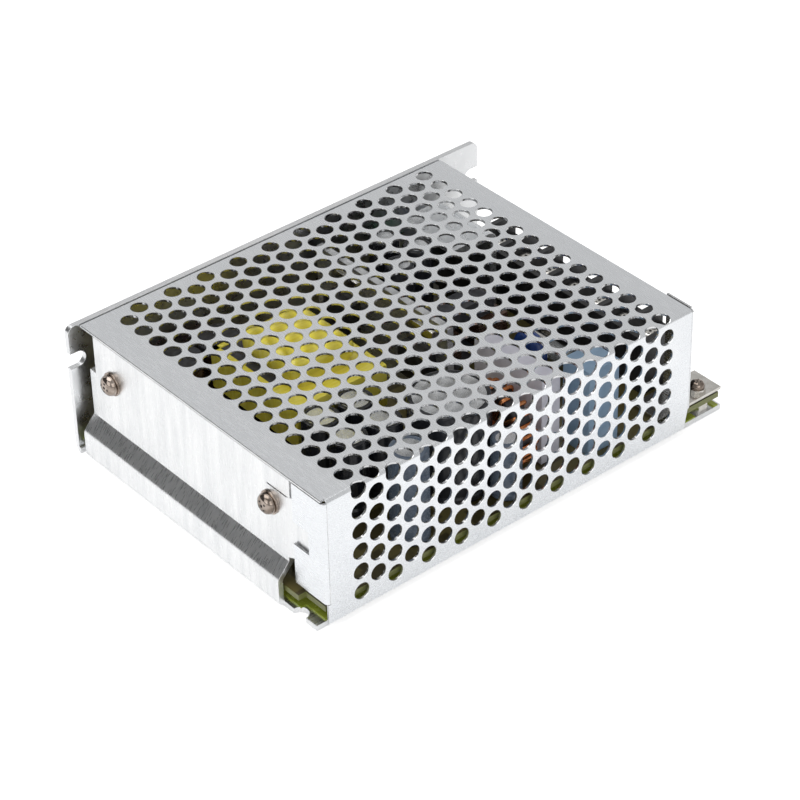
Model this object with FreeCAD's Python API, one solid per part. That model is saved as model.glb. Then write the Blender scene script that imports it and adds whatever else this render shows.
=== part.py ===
import FreeCAD, Part
import math
import os

# Enclosed switching power supply with a perforated folded cover, in millimetres.
# The origin is the middle of the underside. +X points at the terminal end, +Y at the
# tall mounting plate, -Y at the perforated side and +Z up.

V = FreeCAD.Vector

# Sheet metal
chassis_sheet = 1.5
cover_sheet = 0.7
chassis_bend = 0.6
cover_bend = 0.4

# Cover, outside sizes
cover_length = 117.8
cover_depth = 95.9
cover_height = 36.2
flange_foot = 5.7
left_flange_width = 12.2
right_flange_width = 9.6
right_flange_step = 1.1
side_foot_left = 0.4
side_foot_right = 2.2
flange_head_gap = 0.1
crest_drop = 0.1
flange_notch_depth = 6.0
flange_notch_low = 17.5
flange_notch_high = 24.0

# Perforation: round punchings on a lattice of equal triangles
hole_diameter = 4.5
hole_pitch = 6.0
pattern_from_end = 8.54
pattern_from_wall = 10.4
pattern_edge = 1.1
first_top_hole = 2.53
fold_allowance = 1.02

# Chassis
ear_reach = 3.6
terminal_reach = 13.4
cover_gap = 0.2
back_lip = 0.3
plate_setback = 1.5
joggle_reach = 3.6
joggle_low = 6.8
joggle_high = 10.9
wall_front = 14.0
wall_back_gap = 3.0
wall_notch_depth = 2.5
wall_notch_low = 24.5
tab_slit_height = 29.9
tab_slit_width = 0.4
tab_slit_end = 21.2
tab_front_gap = 0.4
tongue_front = 3.0
tongue_low = 12.0
tongue_gap = 0.1
joggle_run = 1.6
ear_slot_width = 4.4
ear_slot_depth = 4.6
ear_slot_height = 26.5
ear_round = 2.0
foot_ear_reach = 2.2
foot_slot_radius = 2.25
foot_slot_from_front = 7.8
mount_hole_diameter = 3.2
mount_spacing_x = 80.0
mount_spacing_y = 64.0

# Circuit board and what carries it
board_sheet = 1.6
board_height = 2.7
board_edge_gap = 0.6
board_setback = 1.6
board_end_gap = 0.8
board_back_gap = 1.6
board_notch_depth = 2.2
board_notch_length = 7.4
film_sheet = 0.4
standoff_width = 5.0
film_opening = 6.6
thread_clearance = 0.05

# Screws
screw_diameter = 3.0
screw_head = 5.6
screw_head_height = 2.2
washer_diameter = 6.4
washer_sheet = 0.5
hole_clearance = 0.2
nut_width = 5.5
nut_height = 2.4
small_screw_diameter = 2.5
small_screw_head = 3.9
small_screw_head_height = 1.8
small_washer_diameter = 4.6

# Earthing plate at the front of the terminal end
tab_sheet = 0.8
tab_spacer = 0.5
tab_length = 22.0
tab_width = 9.6
tab_screw_from_end = 5.6
tab_screw_from_front = 3.0

# Terminal block
ways = 7
barrier = 1.5
block_depth = 16.0
block_base = 10.6
block_height = 16.6
block_end_gap = 0.4
block_from_front = 13.4
block_from_back = 16.2
clamp_sheet = 1.0
clamp_length = 8.6
clamp_side_gap = 0.2
block_screw_from_back = 7.5
terminal_thread = 3.0

# Trimmer and lamp beside the terminal block
trimmer_width = 6.6
trimmer_height = 5.0
rotor_diameter = 4.6
rotor_depth = 1.6
rotor_rise = 0.3
rotor_clearance = 0.05
rotor_slot_width = 0.8
rotor_slot_depth = 0.7
trimmer_gap = 0.9
lamp_diameter = 3.0
lamp_height = 3.4
lamp_dome = 1.4
lamp_dome_top = 1.6
lamp_gap = 0.6

# Power devices clamped to the left wall
device_width = 10.2
device_body_height = 9.2
device_body_depth = 4.4
device_tab_sheet = 1.3
device_tab_over_hole = 2.8
device_hole_to_body = 3.6
pad_sheet = 0.3
wall_screw_height = 25.0
wall_screw_front = 20.2
wall_screw_from_back = 14.2
lead_width = 0.9
lead_pitch = 2.54

# Places of the board's screws, from its left or right edge and its front edge
left_screw_inset = 13.4
front_screw_inset = 9.6
back_screw_inset = 4.6
right_screw_inset = 35.0

# Transformer: core lying flat, winding round its middle limb, taped
core_length = 28.0
core_thickness = 12.0
core_yoke = 5.5
core_limb = 5.0
core_middle_limb = 8.0
winding_height = 26.4
winding_round = 3.5
winding_gap = 0.3
bobbin_foot = 2.0
transformer_left = 28.5
transformer_front = 42.2
transformer_from_back = 16.2

# Other parts on the board. Places run from its left or right edge and its front edge.
output_can = 10.0
output_can_height = 21.6
output_can_pitch = 10.6
output_cans_from_left = 31.0
output_cans_from_front = 25.7
bulk_can = 21.0
bulk_can_height = 26.6
bulk_from_left = 55.7
bulk_from_front = 17.2
sleeve_can = 10.0
sleeve_can_height = 26.6
sleeve_from_left = 34.5
sleeve_from_front = 7.4
low_can = 8.0
low_can_height = 17.0
low_from_left = 63.0
low_from_front = 4.6
signal_can = 8.0
signal_can_height = 26.2
signal_places = ((84.3, 23.2), (89.3, 10.9), (93.3, 19.7))

choke_outer = 21.0
choke_inner = 8.0
choke_width = 7.0
choke_copper = 1.2
choke_from_left = 71.1
choke_from_front = 16.2
choke_wound_turn = 300.0

film_box_width = 6.0
film_box_length = 25.0
film_box_height = 25.6
film_box_from_left = 80.0
film_box_from_front = 19.7

blue_box_width = 10.0
blue_box_length = 9.5
blue_box_height = 25.2
blue_box_from_right = 38.9
blue_box_from_front = 6.75

disc_diameter = 11.0
disc_thickness = 4.4
disc_lift = 9.7
disc_from_right = 38.1
disc_from_front = 29.9

sink_sheet = 2.0
sink_height = 26.2
sink_from_left = 74.5
sink_front = 38.5
sink_from_back = 2.4
sink_device_front = 48.0
sink_device_from_back = 14.9

bright_sink_length = 21.0
bright_sink_height = 25.0
bright_sink_lip = 12.5
bright_sink_from_right = 21.6
bright_sink_from_back = 18.7
bridge_width = 20.0
bridge_height = 15.0
bridge_thickness = 4.0
bridge_lift = 4.0

filter_core_width = 21.0
filter_core_height = 18.0
filter_core_depth = 7.0
filter_core_limb = 5.0
filter_coil_wall = 2.6
filter_from_right = 41.3
filter_gap = 2.2

drum_diameter = 13.0
drum_height = 16.0
drum_flange = 1.4
drum_neck = 9.4
drum_from_left = 24.0
drum_from_back = 7.3
drum_pitch = 14.0

fuse_diameter = 5.2
fuse_length = 20.0
fuse_lift = 2.4
fuse_cap = 5.0
fuse_from_right = 24.5
fuse_from_front = 34.0
clip_sheet = 0.6
clip_width = 4.0

thermistor_diameter = 9.0
thermistor_thickness = 4.0
thermistor_lift = 7.0
thermistor_from_right = 26.5
thermistor_from_back = 4.9

chip_length = 9.6
chip_width = 6.4
chip_height = 3.6
chip_pitch = 12.0
chips_from_left = 64.0
chips_from_front = 66.0

resistor_diameter = 3.6
resistor_length = 9.0
resistor_pitch = 13.0
resistors_from_left = 50.0
resistors_from_back = 2.6
resistor_count = 2

# Flat sides of small round parts
fastener_sides = 12
can_sides = 20
ring_sides = 32


def box(low, high):
    """Box between two corners."""
    size = high - low
    return Part.makeBox(size.x, size.y, size.z, low)


def plate(outline, holes, lift):
    """Flat plate: an outline with holes, both lists of points, raised along lift."""
    loops = [Part.makePolygon(points + points[:1]) for points in [outline] + holes]
    return Part.makeFace(loops, "Part::FaceMakerBullseye").extrude(lift)


def rod(diameter, start, end):
    """Round bar from one point to another."""
    along = end - start
    return Part.makeCylinder(diameter / 2, along.Length, start, along)


def round_corners(diameter, centre, axis, sides):
    """Corners of a round outline with flat sides, on the given diameter."""
    turn = FreeCAD.Rotation(V(0, 0, 1), axis)
    angles = [2 * math.pi * step / sides for step in range(sides)]
    return [centre + turn.multVec(V(math.cos(t), math.sin(t), 0)) * (diameter / 2) for t in angles]


def bar(diameter, start, end, sides):
    """Small round bar with flat sides, whose corners lie on the diameter."""
    return plate(round_corners(diameter, start, end - start, sides), [], end - start)


def bore(diameter, start, end, sides):
    """Cutter for a small round hole with flat sides, which touch the diameter."""
    return bar(diameter / math.cos(math.pi / sides), start, end, sides)


def screw(seat, axis, diameter, head, head_height, length):
    """Screw whose head stands on seat and points along axis, with its shank behind."""
    shank = bar(diameter, seat - axis * length, seat, fastener_sides)
    return bar(head, seat, seat + axis * head_height, fastener_sides).fuse(shank)


def washer(seat, axis, outer, inner, thickness):
    """Flat ring on seat, along axis."""
    over = seat + axis * thickness
    return bar(outer, seat, over, fastener_sides).cut(bore(inner, seat, over, fastener_sides))


def offset_corners(path, normal, shift):
    """Corners of a path moved to its left by shift, seen against normal."""
    lines = []
    for start, end in zip(path, path[1:]):
        along = (end - start).normalize()
        move = normal.cross(along) * shift
        lines.append((start + move, along))
    corners = [lines[0][0]]
    for (first, along), (second, turn) in zip(lines, lines[1:]):
        side = normal.cross(turn)
        step = (second - first).dot(side) / along.dot(side)
        corners.append(first + along * step)
    corners.append(lines[-1][0] + (path[-1] - path[-2]))
    return corners


def straight(start, end):
    """Line between two points, or nothing where they meet."""
    if start.isEqual(end, 1e-6):
        return []
    return [Part.makeLine(start, end)]


def rounded_edges(corners, radii):
    """Lines through the corners with an arc of the given radius at each turn."""
    edges = []
    start = corners[0]
    for before, corner, after, radius in zip(corners, corners[1:], corners[2:], radii):
        back = (before - corner).normalize()
        ahead = (after - corner).normalize()
        half = back.getAngle(ahead) / 2
        enter = corner + back * (radius / math.tan(half))
        leave = corner + ahead * (radius / math.tan(half))
        inward = (back + ahead).normalize()
        middle = corner + inward * (radius / math.sin(half) - radius)
        edges += straight(start, enter)
        edges.append(Part.Arc(enter, middle, leave).toShape())
        start = leave
    return edges + straight(start, corners[-1])


def bent_sheet(path, thickness, inner_radius, run):
    """Folded sheet: a path of one face, with the metal on its left, drawn out along run."""
    normal = V(run).normalize()
    near_radii = []
    far_radii = []
    for before, corner, after in zip(path, path[1:], path[2:]):
        turns_left = (corner - before).cross(after - corner).dot(normal) > 0
        near_radii.append(inner_radius + (thickness if turns_left else 0))
        far_radii.append(inner_radius + (0 if turns_left else thickness))
    near = offset_corners(path, normal, 0)
    far = offset_corners(path, normal, thickness)
    edges = rounded_edges(near, near_radii) + rounded_edges(far, far_radii)
    edges.append(Part.makeLine(near[0], far[0]))
    edges.append(Part.makeLine(near[-1], far[-1]))
    wire = Part.Wire(Part.__sortEdges__(edges))
    return Part.Face(wire).extrude(run)


# Main planes, from the sizes above
ear_tip = -(ear_reach + cover_length + terminal_reach) / 2
wall_face = ear_tip + ear_reach
cover_end = wall_face + cover_length
right_end = cover_end + terminal_reach
front = -(cover_depth + cover_gap + chassis_sheet) / 2
cover_back = front + cover_depth
back_inside = cover_back + cover_gap
back = back_inside + chassis_sheet
floor = chassis_sheet
cover_top = floor + cover_height
roof = cover_top - cover_sheet
plate_top = cover_top + back_lip
lower_wall = wall_face - joggle_reach
plate_front = front + plate_setback
board_low = floor + board_height
board_top = board_low + board_sheet
board_front = front + board_setback
board_back = back_inside - board_back_gap
board_left = lower_wall + chassis_sheet + board_edge_gap
board_right = right_end - board_end_gap
side_end = cover_end + right_flange_step
cover_corner = cover_sheet + cover_bend


def hexagon(centre, across, up):
    """Six corners of the same open area as a round punching."""
    reach = hole_diameter / 2 * math.sqrt(2 * math.pi / (3 * math.sqrt(3)))
    turns = [math.pi / 6 + step * math.pi / 3 for step in range(6)]
    return [centre + across * (reach * math.cos(t)) + up * (reach * math.sin(t)) for t in turns]


def edge_notch(centre, across, up, line):
    """Corners of the part of a punching beyond a line, from its up side to its down side."""
    corners = hexagon(centre, across, up)
    reach = corners[1] - centre
    crossing = (line - centre).dot(across)
    open_half = up * (reach.Length - abs(crossing) / math.sqrt(3))
    on_line = centre + across * crossing
    far = [corners[0], corners[5]]
    if crossing < 0:
        far = [corners[1]] + far + [corners[4]]
    return [on_line + open_half] + far + [on_line - open_half]


def hole_columns():
    """X of each column of punchings, from the terminal end."""
    step = hole_pitch * math.sin(math.pi / 3)
    count = int((cover_length - pattern_from_end - pattern_from_wall) / step) + 1
    first = cover_end - pattern_from_end
    return [first - step * index for index in range(count)]


def rows(first, length):
    """Distances of the punchings in one column that fit on a panel of that length."""
    limit = length - hole_diameter / 2 - pattern_edge
    count = int((limit - first) / hole_pitch) + 1
    return [first + hole_pitch * index for index in range(count)]


def perforated_panels():
    """Top, side and the fold between them, with the punchings that cross the fold."""
    first_side = hole_pitch + fold_allowance - first_top_hole
    stagger = hole_pitch / 2
    fold_y = front + cover_corner
    fold_z = cover_top - cover_corner
    left = wall_face + cover_corner
    right = side_end - cover_corner
    inward = V(0, 1, 0)
    down = V(0, 0, -1)
    along = V(1, 0, 0)
    top_holes = []
    side_holes = []
    top_edge = [V(cover_end, fold_y, roof)]
    side_edge = [V(right, front, fold_z)]
    fold_ends = [right]
    for index, x in enumerate(hole_columns()):
        shift = stagger * (index % 2)
        top_rows = rows(first_top_hole + shift, cover_depth)
        side_rows = rows(first_side - shift, cover_height)
        edge_hole = V(x, front + (first_top_hole - stagger if index % 2 else top_rows.pop(0)), roof)
        top_edge += edge_notch(edge_hole, inward, along, V(x, fold_y, roof))
        if index % 2:
            bent_hole = V(x, front, cover_top - side_rows.pop(0))
            side_edge += edge_notch(bent_hole, down, along, V(x, front, fold_z))
            fold_ends += [x + hole_diameter / 2, x - hole_diameter / 2]
        top_holes += [hexagon(V(x, front + y, roof), inward, along) for y in top_rows]
        side_holes += [hexagon(V(x, front, cover_top - z), down, along) for z in side_rows]
    top_edge += [V(wall_face, fold_y, roof), V(wall_face, cover_back, roof), V(cover_end, cover_back, roof)]
    foot = floor + flange_foot
    side_edge += [
        V(left, front, fold_z),
        V(left, front, foot),
        V(wall_face + side_foot_left, front, foot),
        V(wall_face + side_foot_left, front, floor),
        V(side_end - side_foot_right, front, floor),
        V(right, front, foot),
    ]
    top = plate(top_edge, top_holes, V(0, 0, cover_sheet))
    side = plate(side_edge, side_holes, V(0, cover_sheet, 0))
    fold_ends.append(left)
    folds = []
    for high, low in zip(fold_ends[::2], fold_ends[1::2]):
        path = [V(low, fold_y, cover_top), V(low, front, cover_top), V(low, front, fold_z)]
        folds.append(bent_sheet(path, cover_sheet, cover_bend, V(high - low, 0, 0)))
    return [top, side] + folds


def mesh_cover():
    """Folded sheet cover: top, perforated side and the two flanges at the side's ends."""
    panels = perforated_panels()
    foot = floor + flange_foot
    height = V(0, 0, roof - flange_head_gap - foot)
    corner = V(wall_face, front, foot)
    left_path = [corner + V(0, left_flange_width, 0), corner, corner + V(cover_corner, 0, 0)]
    left = bent_sheet(left_path, cover_sheet, cover_bend, height)
    notch_low = V(wall_face, front + left_flange_width - flange_notch_depth, floor + flange_notch_low)
    notch_high = V(wall_face + cover_sheet, front + left_flange_width, floor + flange_notch_high)
    left = left.cut(box(notch_low, notch_high))
    corner = V(side_end, front, foot)
    right_path = [corner - V(cover_corner, 0, 0), corner, corner + V(0, right_flange_width, 0)]
    right = bent_sheet(right_path, cover_sheet, cover_bend, height)
    crest_low = corner + V(-cover_sheet, cover_corner, 0) + height
    crest = box(crest_low, V(side_end, front + right_flange_width, cover_top - crest_drop))
    return panels[0].fuse(panels[1:] + [left, right, crest])


def u_slot(tip, inward, width, depth, thickness):
    """Cutter for a slot open at tip, with a round closed end, through a plate along +Y."""
    side = V(0, 0, 1)
    low = tip - side * (width / 2)
    straight = depth - width / 2
    face = Part.makePolygon([
        low,
        low + inward * straight,
        low + inward * straight + side * width,
        low + side * width,
        low,
    ])
    cutter = Part.Face(face).extrude(V(0, thickness, 0))
    return cutter.fuse(Part.makeCylinder(width / 2, thickness, tip + inward * straight, V(0, 1, 0)))


def ear_slots():
    """Cutters of the mounting slots at both ends of the back plate."""
    height = floor + ear_slot_height
    left = u_slot(V(ear_tip, back_inside, height), V(1, 0, 0), ear_slot_width, ear_slot_depth, chassis_sheet)
    right = u_slot(V(right_end, back_inside, height), V(-1, 0, 0), ear_slot_width, ear_slot_depth, chassis_sheet)
    return [left, right]


def mount_points():
    """Places of the mounting holes in the bottom plate."""
    middle_y = (front + back) / 2
    reach_x = mount_spacing_x / 2
    reach_y = mount_spacing_y / 2
    return [V(x, middle_y + y, 0) for x in (-reach_x, reach_x) for y in (-reach_y, reach_y)]


def left_wall():
    """Bottom plate and left wall as one folded strip, with the outward step low down."""
    start = front + wall_front
    path = [
        V(right_end, start, 0),
        V(lower_wall, start, 0),
        V(lower_wall, start, floor + joggle_low),
        V(wall_face, start, floor + joggle_high),
        V(wall_face, start, roof),
    ]
    length = back_inside - wall_back_gap - start
    wall = bent_sheet(path, chassis_sheet, chassis_bend, V(0, length, 0))
    inside = wall_face + chassis_sheet
    notch = box(
        V(wall_face, start + length - wall_notch_depth, floor + wall_notch_low),
        V(inside, start + length, roof),
    )
    slit = box(
        V(wall_face, start, floor + tab_slit_height),
        V(inside, front + tab_slit_end, floor + tab_slit_height + tab_slit_width),
    )
    return wall.cut([notch, slit])


def cover_tab():
    """Front of the left wall over the slit, which runs on to the cover's flange."""
    low = V(wall_face, front + left_flange_width + tab_front_gap, floor + tab_slit_height + tab_slit_width)
    return box(low, V(wall_face + chassis_sheet, front + wall_front, roof))


def cover_tongue():
    """Front of the left wall under the slit, set inwards so that the flange lies flush."""
    start = front + wall_front
    turn = start - joggle_run
    outer = wall_face + cover_sheet + tongue_gap
    outline = [
        V(wall_face, start, 0),
        V(wall_face + chassis_sheet, start, 0),
        V(outer + chassis_sheet, turn, 0),
        V(outer + chassis_sheet, front + tongue_front, 0),
        V(outer, front + tongue_front, 0),
        V(outer, turn, 0),
    ]
    tongue = plate(outline, [], V(0, 0, tab_slit_height - tongue_low))
    tongue.translate(V(0, 0, floor + tongue_low))
    return tongue


def back_plate():
    """Upright plate at the back with an ear at each end, and its fold to the bottom."""
    relief = chassis_sheet + chassis_bend
    upright = box(V(ear_tip, back_inside, relief), V(right_end, back, plate_top))
    corners = [e for e in upright.Edges if e.BoundBox.YLength > 0.1 and e.CenterOfMass.z > roof]
    upright = upright.makeFillet(ear_round, corners)
    path = [V(lower_wall, back - relief, 0), V(lower_wall, back, 0), V(lower_wall, back, relief)]
    fold = bent_sheet(path, chassis_sheet, chassis_bend, V(right_end - lower_wall, 0, 0))
    return upright.fuse(fold).cut(ear_slots())


def bottom_front():
    """Front strip of the bottom plate, beside the board's front left corner."""
    left = wall_face - foot_ear_reach
    strip = box(V(left, plate_front, 0), V(right_end, front + wall_front, floor))
    slot_at = V(left, front + foot_slot_from_front, 0)
    return strip.cut(Part.makeCylinder(foot_slot_radius, floor, slot_at))


def bottom_back():
    """Strip of the bottom plate between the left wall's end and the fold of the back."""
    start = back_inside - wall_back_gap
    left = lower_wall + chassis_sheet + chassis_bend
    return box(V(left, start, 0), V(right_end, back - chassis_sheet - chassis_bend, floor))


def chassis():
    """One folded aluminium sheet: bottom, left wall and back plate."""
    pieces = [cover_tab(), cover_tongue(), back_plate(), bottom_front(), bottom_back()]
    body = left_wall().fuse(pieces)
    cuts = [rod(mount_hole_diameter, at, at + V(0, 0, floor)) for at in mount_points()]
    across = screw_diameter + 2 * hole_clearance
    cuts += [bore(across, at, at + V(chassis_sheet, 0, 0), fastener_sides) for at in wall_screw_points()]
    return body.cut(cuts).removeSplitter()


def wall_screw_points():
    """Places of the two screws on the left wall's outside."""
    height = floor + wall_screw_height
    return [V(wall_face, y, height) for y in (front + wall_screw_front, back - wall_screw_from_back)]


def wall_screws():
    """Pan head screws through the left wall, each with its washer's thickness under it."""
    length = washer_sheet + chassis_sheet + pad_sheet + device_tab_sheet + nut_height
    seat = V(-washer_sheet, 0, 0)
    return [
        screw(at + seat, V(-1, 0, 0), screw_diameter, screw_head, screw_head_height, length)
        for at in wall_screw_points()
    ]


def wall_washers():
    """Washers under the heads of the wall screws."""
    inner = screw_diameter + 2 * hole_clearance
    return [washer(at, V(-1, 0, 0), washer_diameter, inner, washer_sheet) for at in wall_screw_points()]


def nut(seat, axis):
    """Hexagon nut on seat, along axis, which is a row axis across Y."""
    reach = nut_width / math.sqrt(3)
    side = axis.cross(V(0, 1, 0))
    turns = [step * math.pi / 3 for step in range(6)]
    outline = [seat + V(0, 1, 0) * (reach * math.cos(t)) + side * (reach * math.sin(t)) for t in turns]
    over = seat + axis * nut_height
    thread = bore(screw_diameter + 2 * thread_clearance, seat, over, fastener_sides)
    return plate(outline, [], axis * nut_height).cut(thread)


def device(seat, axis, lead_drop):
    """Flat power package whose tab lies on seat and whose body stands out along axis."""
    side = V(0, 1, 0)
    up = V(0, 0, 1)
    half = side * (device_width / 2)
    tab_low = seat - half - up * device_hole_to_body
    tab = box_from(tab_low, side * device_width, up * (device_hole_to_body + device_tab_over_hole), axis * device_tab_sheet)
    hole = bore(screw_diameter + 2 * hole_clearance, seat, seat + axis * device_tab_sheet, fastener_sides)
    body_low = tab_low - up * device_body_height
    body = box_from(body_low, side * device_width, up * device_body_height, axis * device_body_depth)
    package = tab.cut(hole).fuse(body)
    foot = seat - up * (device_hole_to_body + device_body_height) + axis * (device_body_depth / 2)
    for step in (-1, 0, 1):
        low = foot + side * (step * lead_pitch - lead_width / 2) - up * lead_drop
        lead = box_from(low, side * lead_width, up * lead_drop, axis * (lead_width / 2))
        package = package.fuse(lead)
    return package


def box_from(low, across, up, depth):
    """Box from a corner and three edges."""
    return Part.Face(Part.makePolygon([low, low + across, low + across + up, low + up, low])).extrude(depth)


def wall_device_drop():
    """Height of a wall device's body over the board."""
    return floor + wall_screw_height - device_hole_to_body - device_body_height - board_top


def wall_devices():
    """Power devices inside the left wall, tabs against their pads."""
    seat = V(chassis_sheet + pad_sheet, 0, 0)
    return [device(at + seat, V(1, 0, 0), wall_device_drop()) for at in wall_screw_points()]


def thermal_pads():
    """Insulating pads between the left wall and the devices."""
    pads = []
    for at in wall_screw_points():
        low = at + V(chassis_sheet, -device_width / 2, -device_hole_to_body - device_body_height)
        high = at + V(chassis_sheet + pad_sheet, device_width / 2, device_tab_over_hole)
        through = at + V(chassis_sheet + pad_sheet, 0, 0)
        hole = bore(screw_diameter + 2 * hole_clearance, at, through, fastener_sides)
        pads.append(box(low, high).cut(hole))
    return pads


def device_nuts():
    """Nuts on the wall screws, on the devices' tabs."""
    seat = V(chassis_sheet + pad_sheet + device_tab_sheet, 0, 0)
    return [nut(at + seat, V(1, 0, 0)) for at in wall_screw_points()]


def tab_screw_point():
    """Place of the earthing screw, on the board's top."""
    return V(right_end - tab_screw_from_end, board_front + tab_screw_from_front, board_top)


def board_screw_points():
    """Places of the plain board screws, on the board's top."""
    left = board_left + left_screw_inset
    return [
        V(left, board_front + front_screw_inset, board_top),
        V(left, board_back - back_screw_inset, board_top),
        V(board_right - right_screw_inset, board_back - back_screw_inset, board_top),
    ]


def board_outline(height, left):
    """Outline of the board or the film from its left edge, with the notch at the front left."""
    inner = board_left + board_notch_depth
    notch = board_front + board_notch_length
    return [
        V(inner, board_front, height),
        V(board_right, board_front, height),
        V(board_right, board_back, height),
        V(left, board_back, height),
        V(left, notch, height),
        V(inner, notch, height),
    ]


def insulating_film():
    """Yellow-green insulating film on the bottom plate, open at standoffs and mounts."""
    left = board_left + chassis_bend
    film = plate(board_outline(floor, left), [], V(0, 0, film_sheet))
    half = V(film_opening / 2, film_opening / 2, 0)
    points = board_screw_points() + [tab_screw_point()] + mount_points()
    feet = [V(at.x, at.y, floor) for at in points]
    return film.cut([box(at - half, at + half + V(0, 0, film_sheet)) for at in feet])


def circuit_board():
    """Circuit board with its screw holes."""
    board = plate(board_outline(board_low, board_left), [], V(0, 0, board_sheet))
    wide = screw_diameter + 2 * hole_clearance
    points = board_screw_points() + [tab_screw_point()]
    return board.cut([bore(wide, at - V(0, 0, board_sheet), at, fastener_sides) for at in points])


def standoffs():
    """Hexagonal standoffs pressed into the bottom plate, which carry the board."""
    posts = []
    reach = standoff_width / math.sqrt(3)
    turns = [step * math.pi / 3 for step in range(6)]
    bores = [screw_diameter] * len(board_screw_points()) + [small_screw_diameter]
    for at, across in zip(board_screw_points() + [tab_screw_point()], bores):
        foot = V(at.x, at.y, floor)
        head = V(at.x, at.y, board_low)
        outline = [foot + V(reach * math.cos(t), reach * math.sin(t), 0) for t in turns]
        thread = bore(across + 2 * thread_clearance, foot, head, fastener_sides)
        posts.append(plate(outline, [], head - foot).cut(thread))
    return posts


def board_screws():
    """Screws that hold the board on its standoffs."""
    length = board_sheet + board_height - thread_clearance
    return [
        screw(at, V(0, 0, 1), screw_diameter, screw_head, screw_head_height, length)
        for at in board_screw_points()
    ]


def earthing_plate():
    """Plated steel tab over the board's front right corner."""
    low = V(right_end - tab_length, board_front, board_top + tab_spacer)
    tab = box(low, low + V(tab_length, tab_width, tab_sheet))
    at = tab_screw_point() + V(0, 0, tab_spacer)
    over = at + V(0, 0, tab_sheet)
    return tab.cut(bore(small_screw_diameter + 2 * hole_clearance, at, over, fastener_sides))


def earthing_washers():
    """Spacer under the earthing plate, and the spring washer over it."""
    inner = small_screw_diameter + 2 * hole_clearance
    at = tab_screw_point()
    over = at + V(0, 0, tab_spacer + tab_sheet)
    return [
        washer(at, V(0, 0, 1), small_washer_diameter, inner, tab_spacer),
        washer(over, V(0, 0, 1), small_washer_diameter, inner, 2 * washer_sheet),
    ]


def earthing_screw():
    """Screw through the earthing plate and the board into its standoff."""
    seat = tab_screw_point() + V(0, 0, tab_spacer + tab_sheet + 2 * washer_sheet)
    length = seat.z - floor - thread_clearance
    head = small_screw_head
    return screw(seat, V(0, 0, 1), small_screw_diameter, head, small_screw_head_height, length)


def block_back_face():
    """X of the terminal block's back face."""
    return right_end - block_end_gap - block_depth


def block_front_face():
    """Y of the terminal block's first outer wall."""
    return front + block_from_front


def block_length():
    """Length of the terminal block along Y."""
    return back - block_from_back - block_front_face()


def way_pitch():
    """Distance from one way to the next."""
    return (block_length() - barrier) / ways


def way_middles():
    """Y of the middle of each way."""
    first = block_front_face() + (barrier + way_pitch()) / 2
    return [first + way_pitch() * index for index in range(ways)]


def terminal_block():
    """Moulded block: a base, a back wall and barriers between the ways."""
    low = V(block_back_face(), block_front_face(), board_top)
    body = box(low, low + V(block_depth, block_length(), block_height))
    width = way_pitch() - barrier
    cuts = []
    for y in way_middles():
        bay = V(low.x + barrier, y - width / 2, board_top + block_base)
        cuts.append(box(bay, bay + V(block_depth, width, block_height)))
        at = V(low.x + block_screw_from_back, y, board_top + block_base)
        thread = screw_diameter + 2 * thread_clearance
        cuts.append(bore(thread, at - V(0, 0, terminal_thread), at, fastener_sides))
    return body.cut(cuts)


def clamp_points():
    """Middle of each clamp plate's top, where its screw head sits."""
    x = block_back_face() + block_screw_from_back
    return [V(x, y, board_top + block_base + clamp_sheet) for y in way_middles()]


def terminal_clamps():
    """Clamp plates under the terminal screws."""
    width = way_pitch() - barrier - 2 * clamp_side_gap
    back_reach = block_screw_from_back - barrier - clamp_side_gap
    plates = []
    for at in clamp_points():
        low = at - V(back_reach, width / 2, clamp_sheet)
        blank = box(low, low + V(clamp_length, width, clamp_sheet))
        hole = screw_diameter + 2 * hole_clearance
        plates.append(blank.cut(bore(hole, at - V(0, 0, clamp_sheet), at, fastener_sides)))
    return plates


def terminal_screws():
    """Screws of the terminal block, driven into its base through the clamp plates."""
    length = clamp_sheet + terminal_thread
    return [
        screw(at, V(0, 0, 1), screw_diameter, screw_head, screw_head_height, length)
        for at in clamp_points()
    ]


def trimmer_middle():
    """Middle of the trimmer on the board, behind the terminal block."""
    y = block_front_face() + block_length() + trimmer_gap + trimmer_width / 2
    return V(block_back_face() + block_depth / 2, y, board_top)


def trimmer_body():
    """Square trimmer case with a round well for its rotor."""
    at = trimmer_middle()
    half = trimmer_width / 2
    case = box(at - V(half, half, 0), at + V(half, half, trimmer_height))
    well = rod(rotor_diameter + 2 * rotor_clearance, at + V(0, 0, trimmer_height - rotor_depth), at + V(0, 0, trimmer_height))
    return case.cut(well)


def trimmer_rotor():
    """Turning rotor of the trimmer, with its screwdriver slot."""
    at = trimmer_middle()
    low = at + V(0, 0, trimmer_height - rotor_depth + rotor_clearance)
    high = at + V(0, 0, trimmer_height + rotor_rise)
    half = V(rotor_diameter / 2, rotor_slot_width / 2, 0)
    slot = box(high - half - V(0, 0, rotor_slot_depth), high + half)
    return rod(rotor_diameter, low, high).cut(slot)


def power_lamp():
    """Round indicator lamp with a tapered top, beside the trimmer."""
    at = trimmer_middle() + V(trimmer_width / 2 + lamp_gap + lamp_diameter / 2, 0, 0)
    shoulder = at + V(0, 0, lamp_height)
    top = shoulder + V(0, 0, lamp_dome)
    rings = [
        round_corners(lamp_diameter, shoulder, V(0, 0, 1), fastener_sides),
        round_corners(lamp_dome_top, top, V(0, 0, 1), fastener_sides),
    ]
    dome = Part.makeLoft([Part.makePolygon(corners + corners[:1]) for corners in rings], True, True)
    return bar(lamp_diameter, at, shoulder, fastener_sides).fuse(dome)


def from_left(x, y):
    """Point on the board's top, from its left and front edges."""
    return V(board_left + x, board_front + y, board_top)


def from_right(x, y):
    """Point on the board's top, from its right and front edges."""
    return V(board_right - x, board_front + y, board_top)


def upright_can(at, diameter, height):
    """Standing round capacitor."""
    return bar(diameter, at, at + V(0, 0, height), can_sides)


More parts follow.
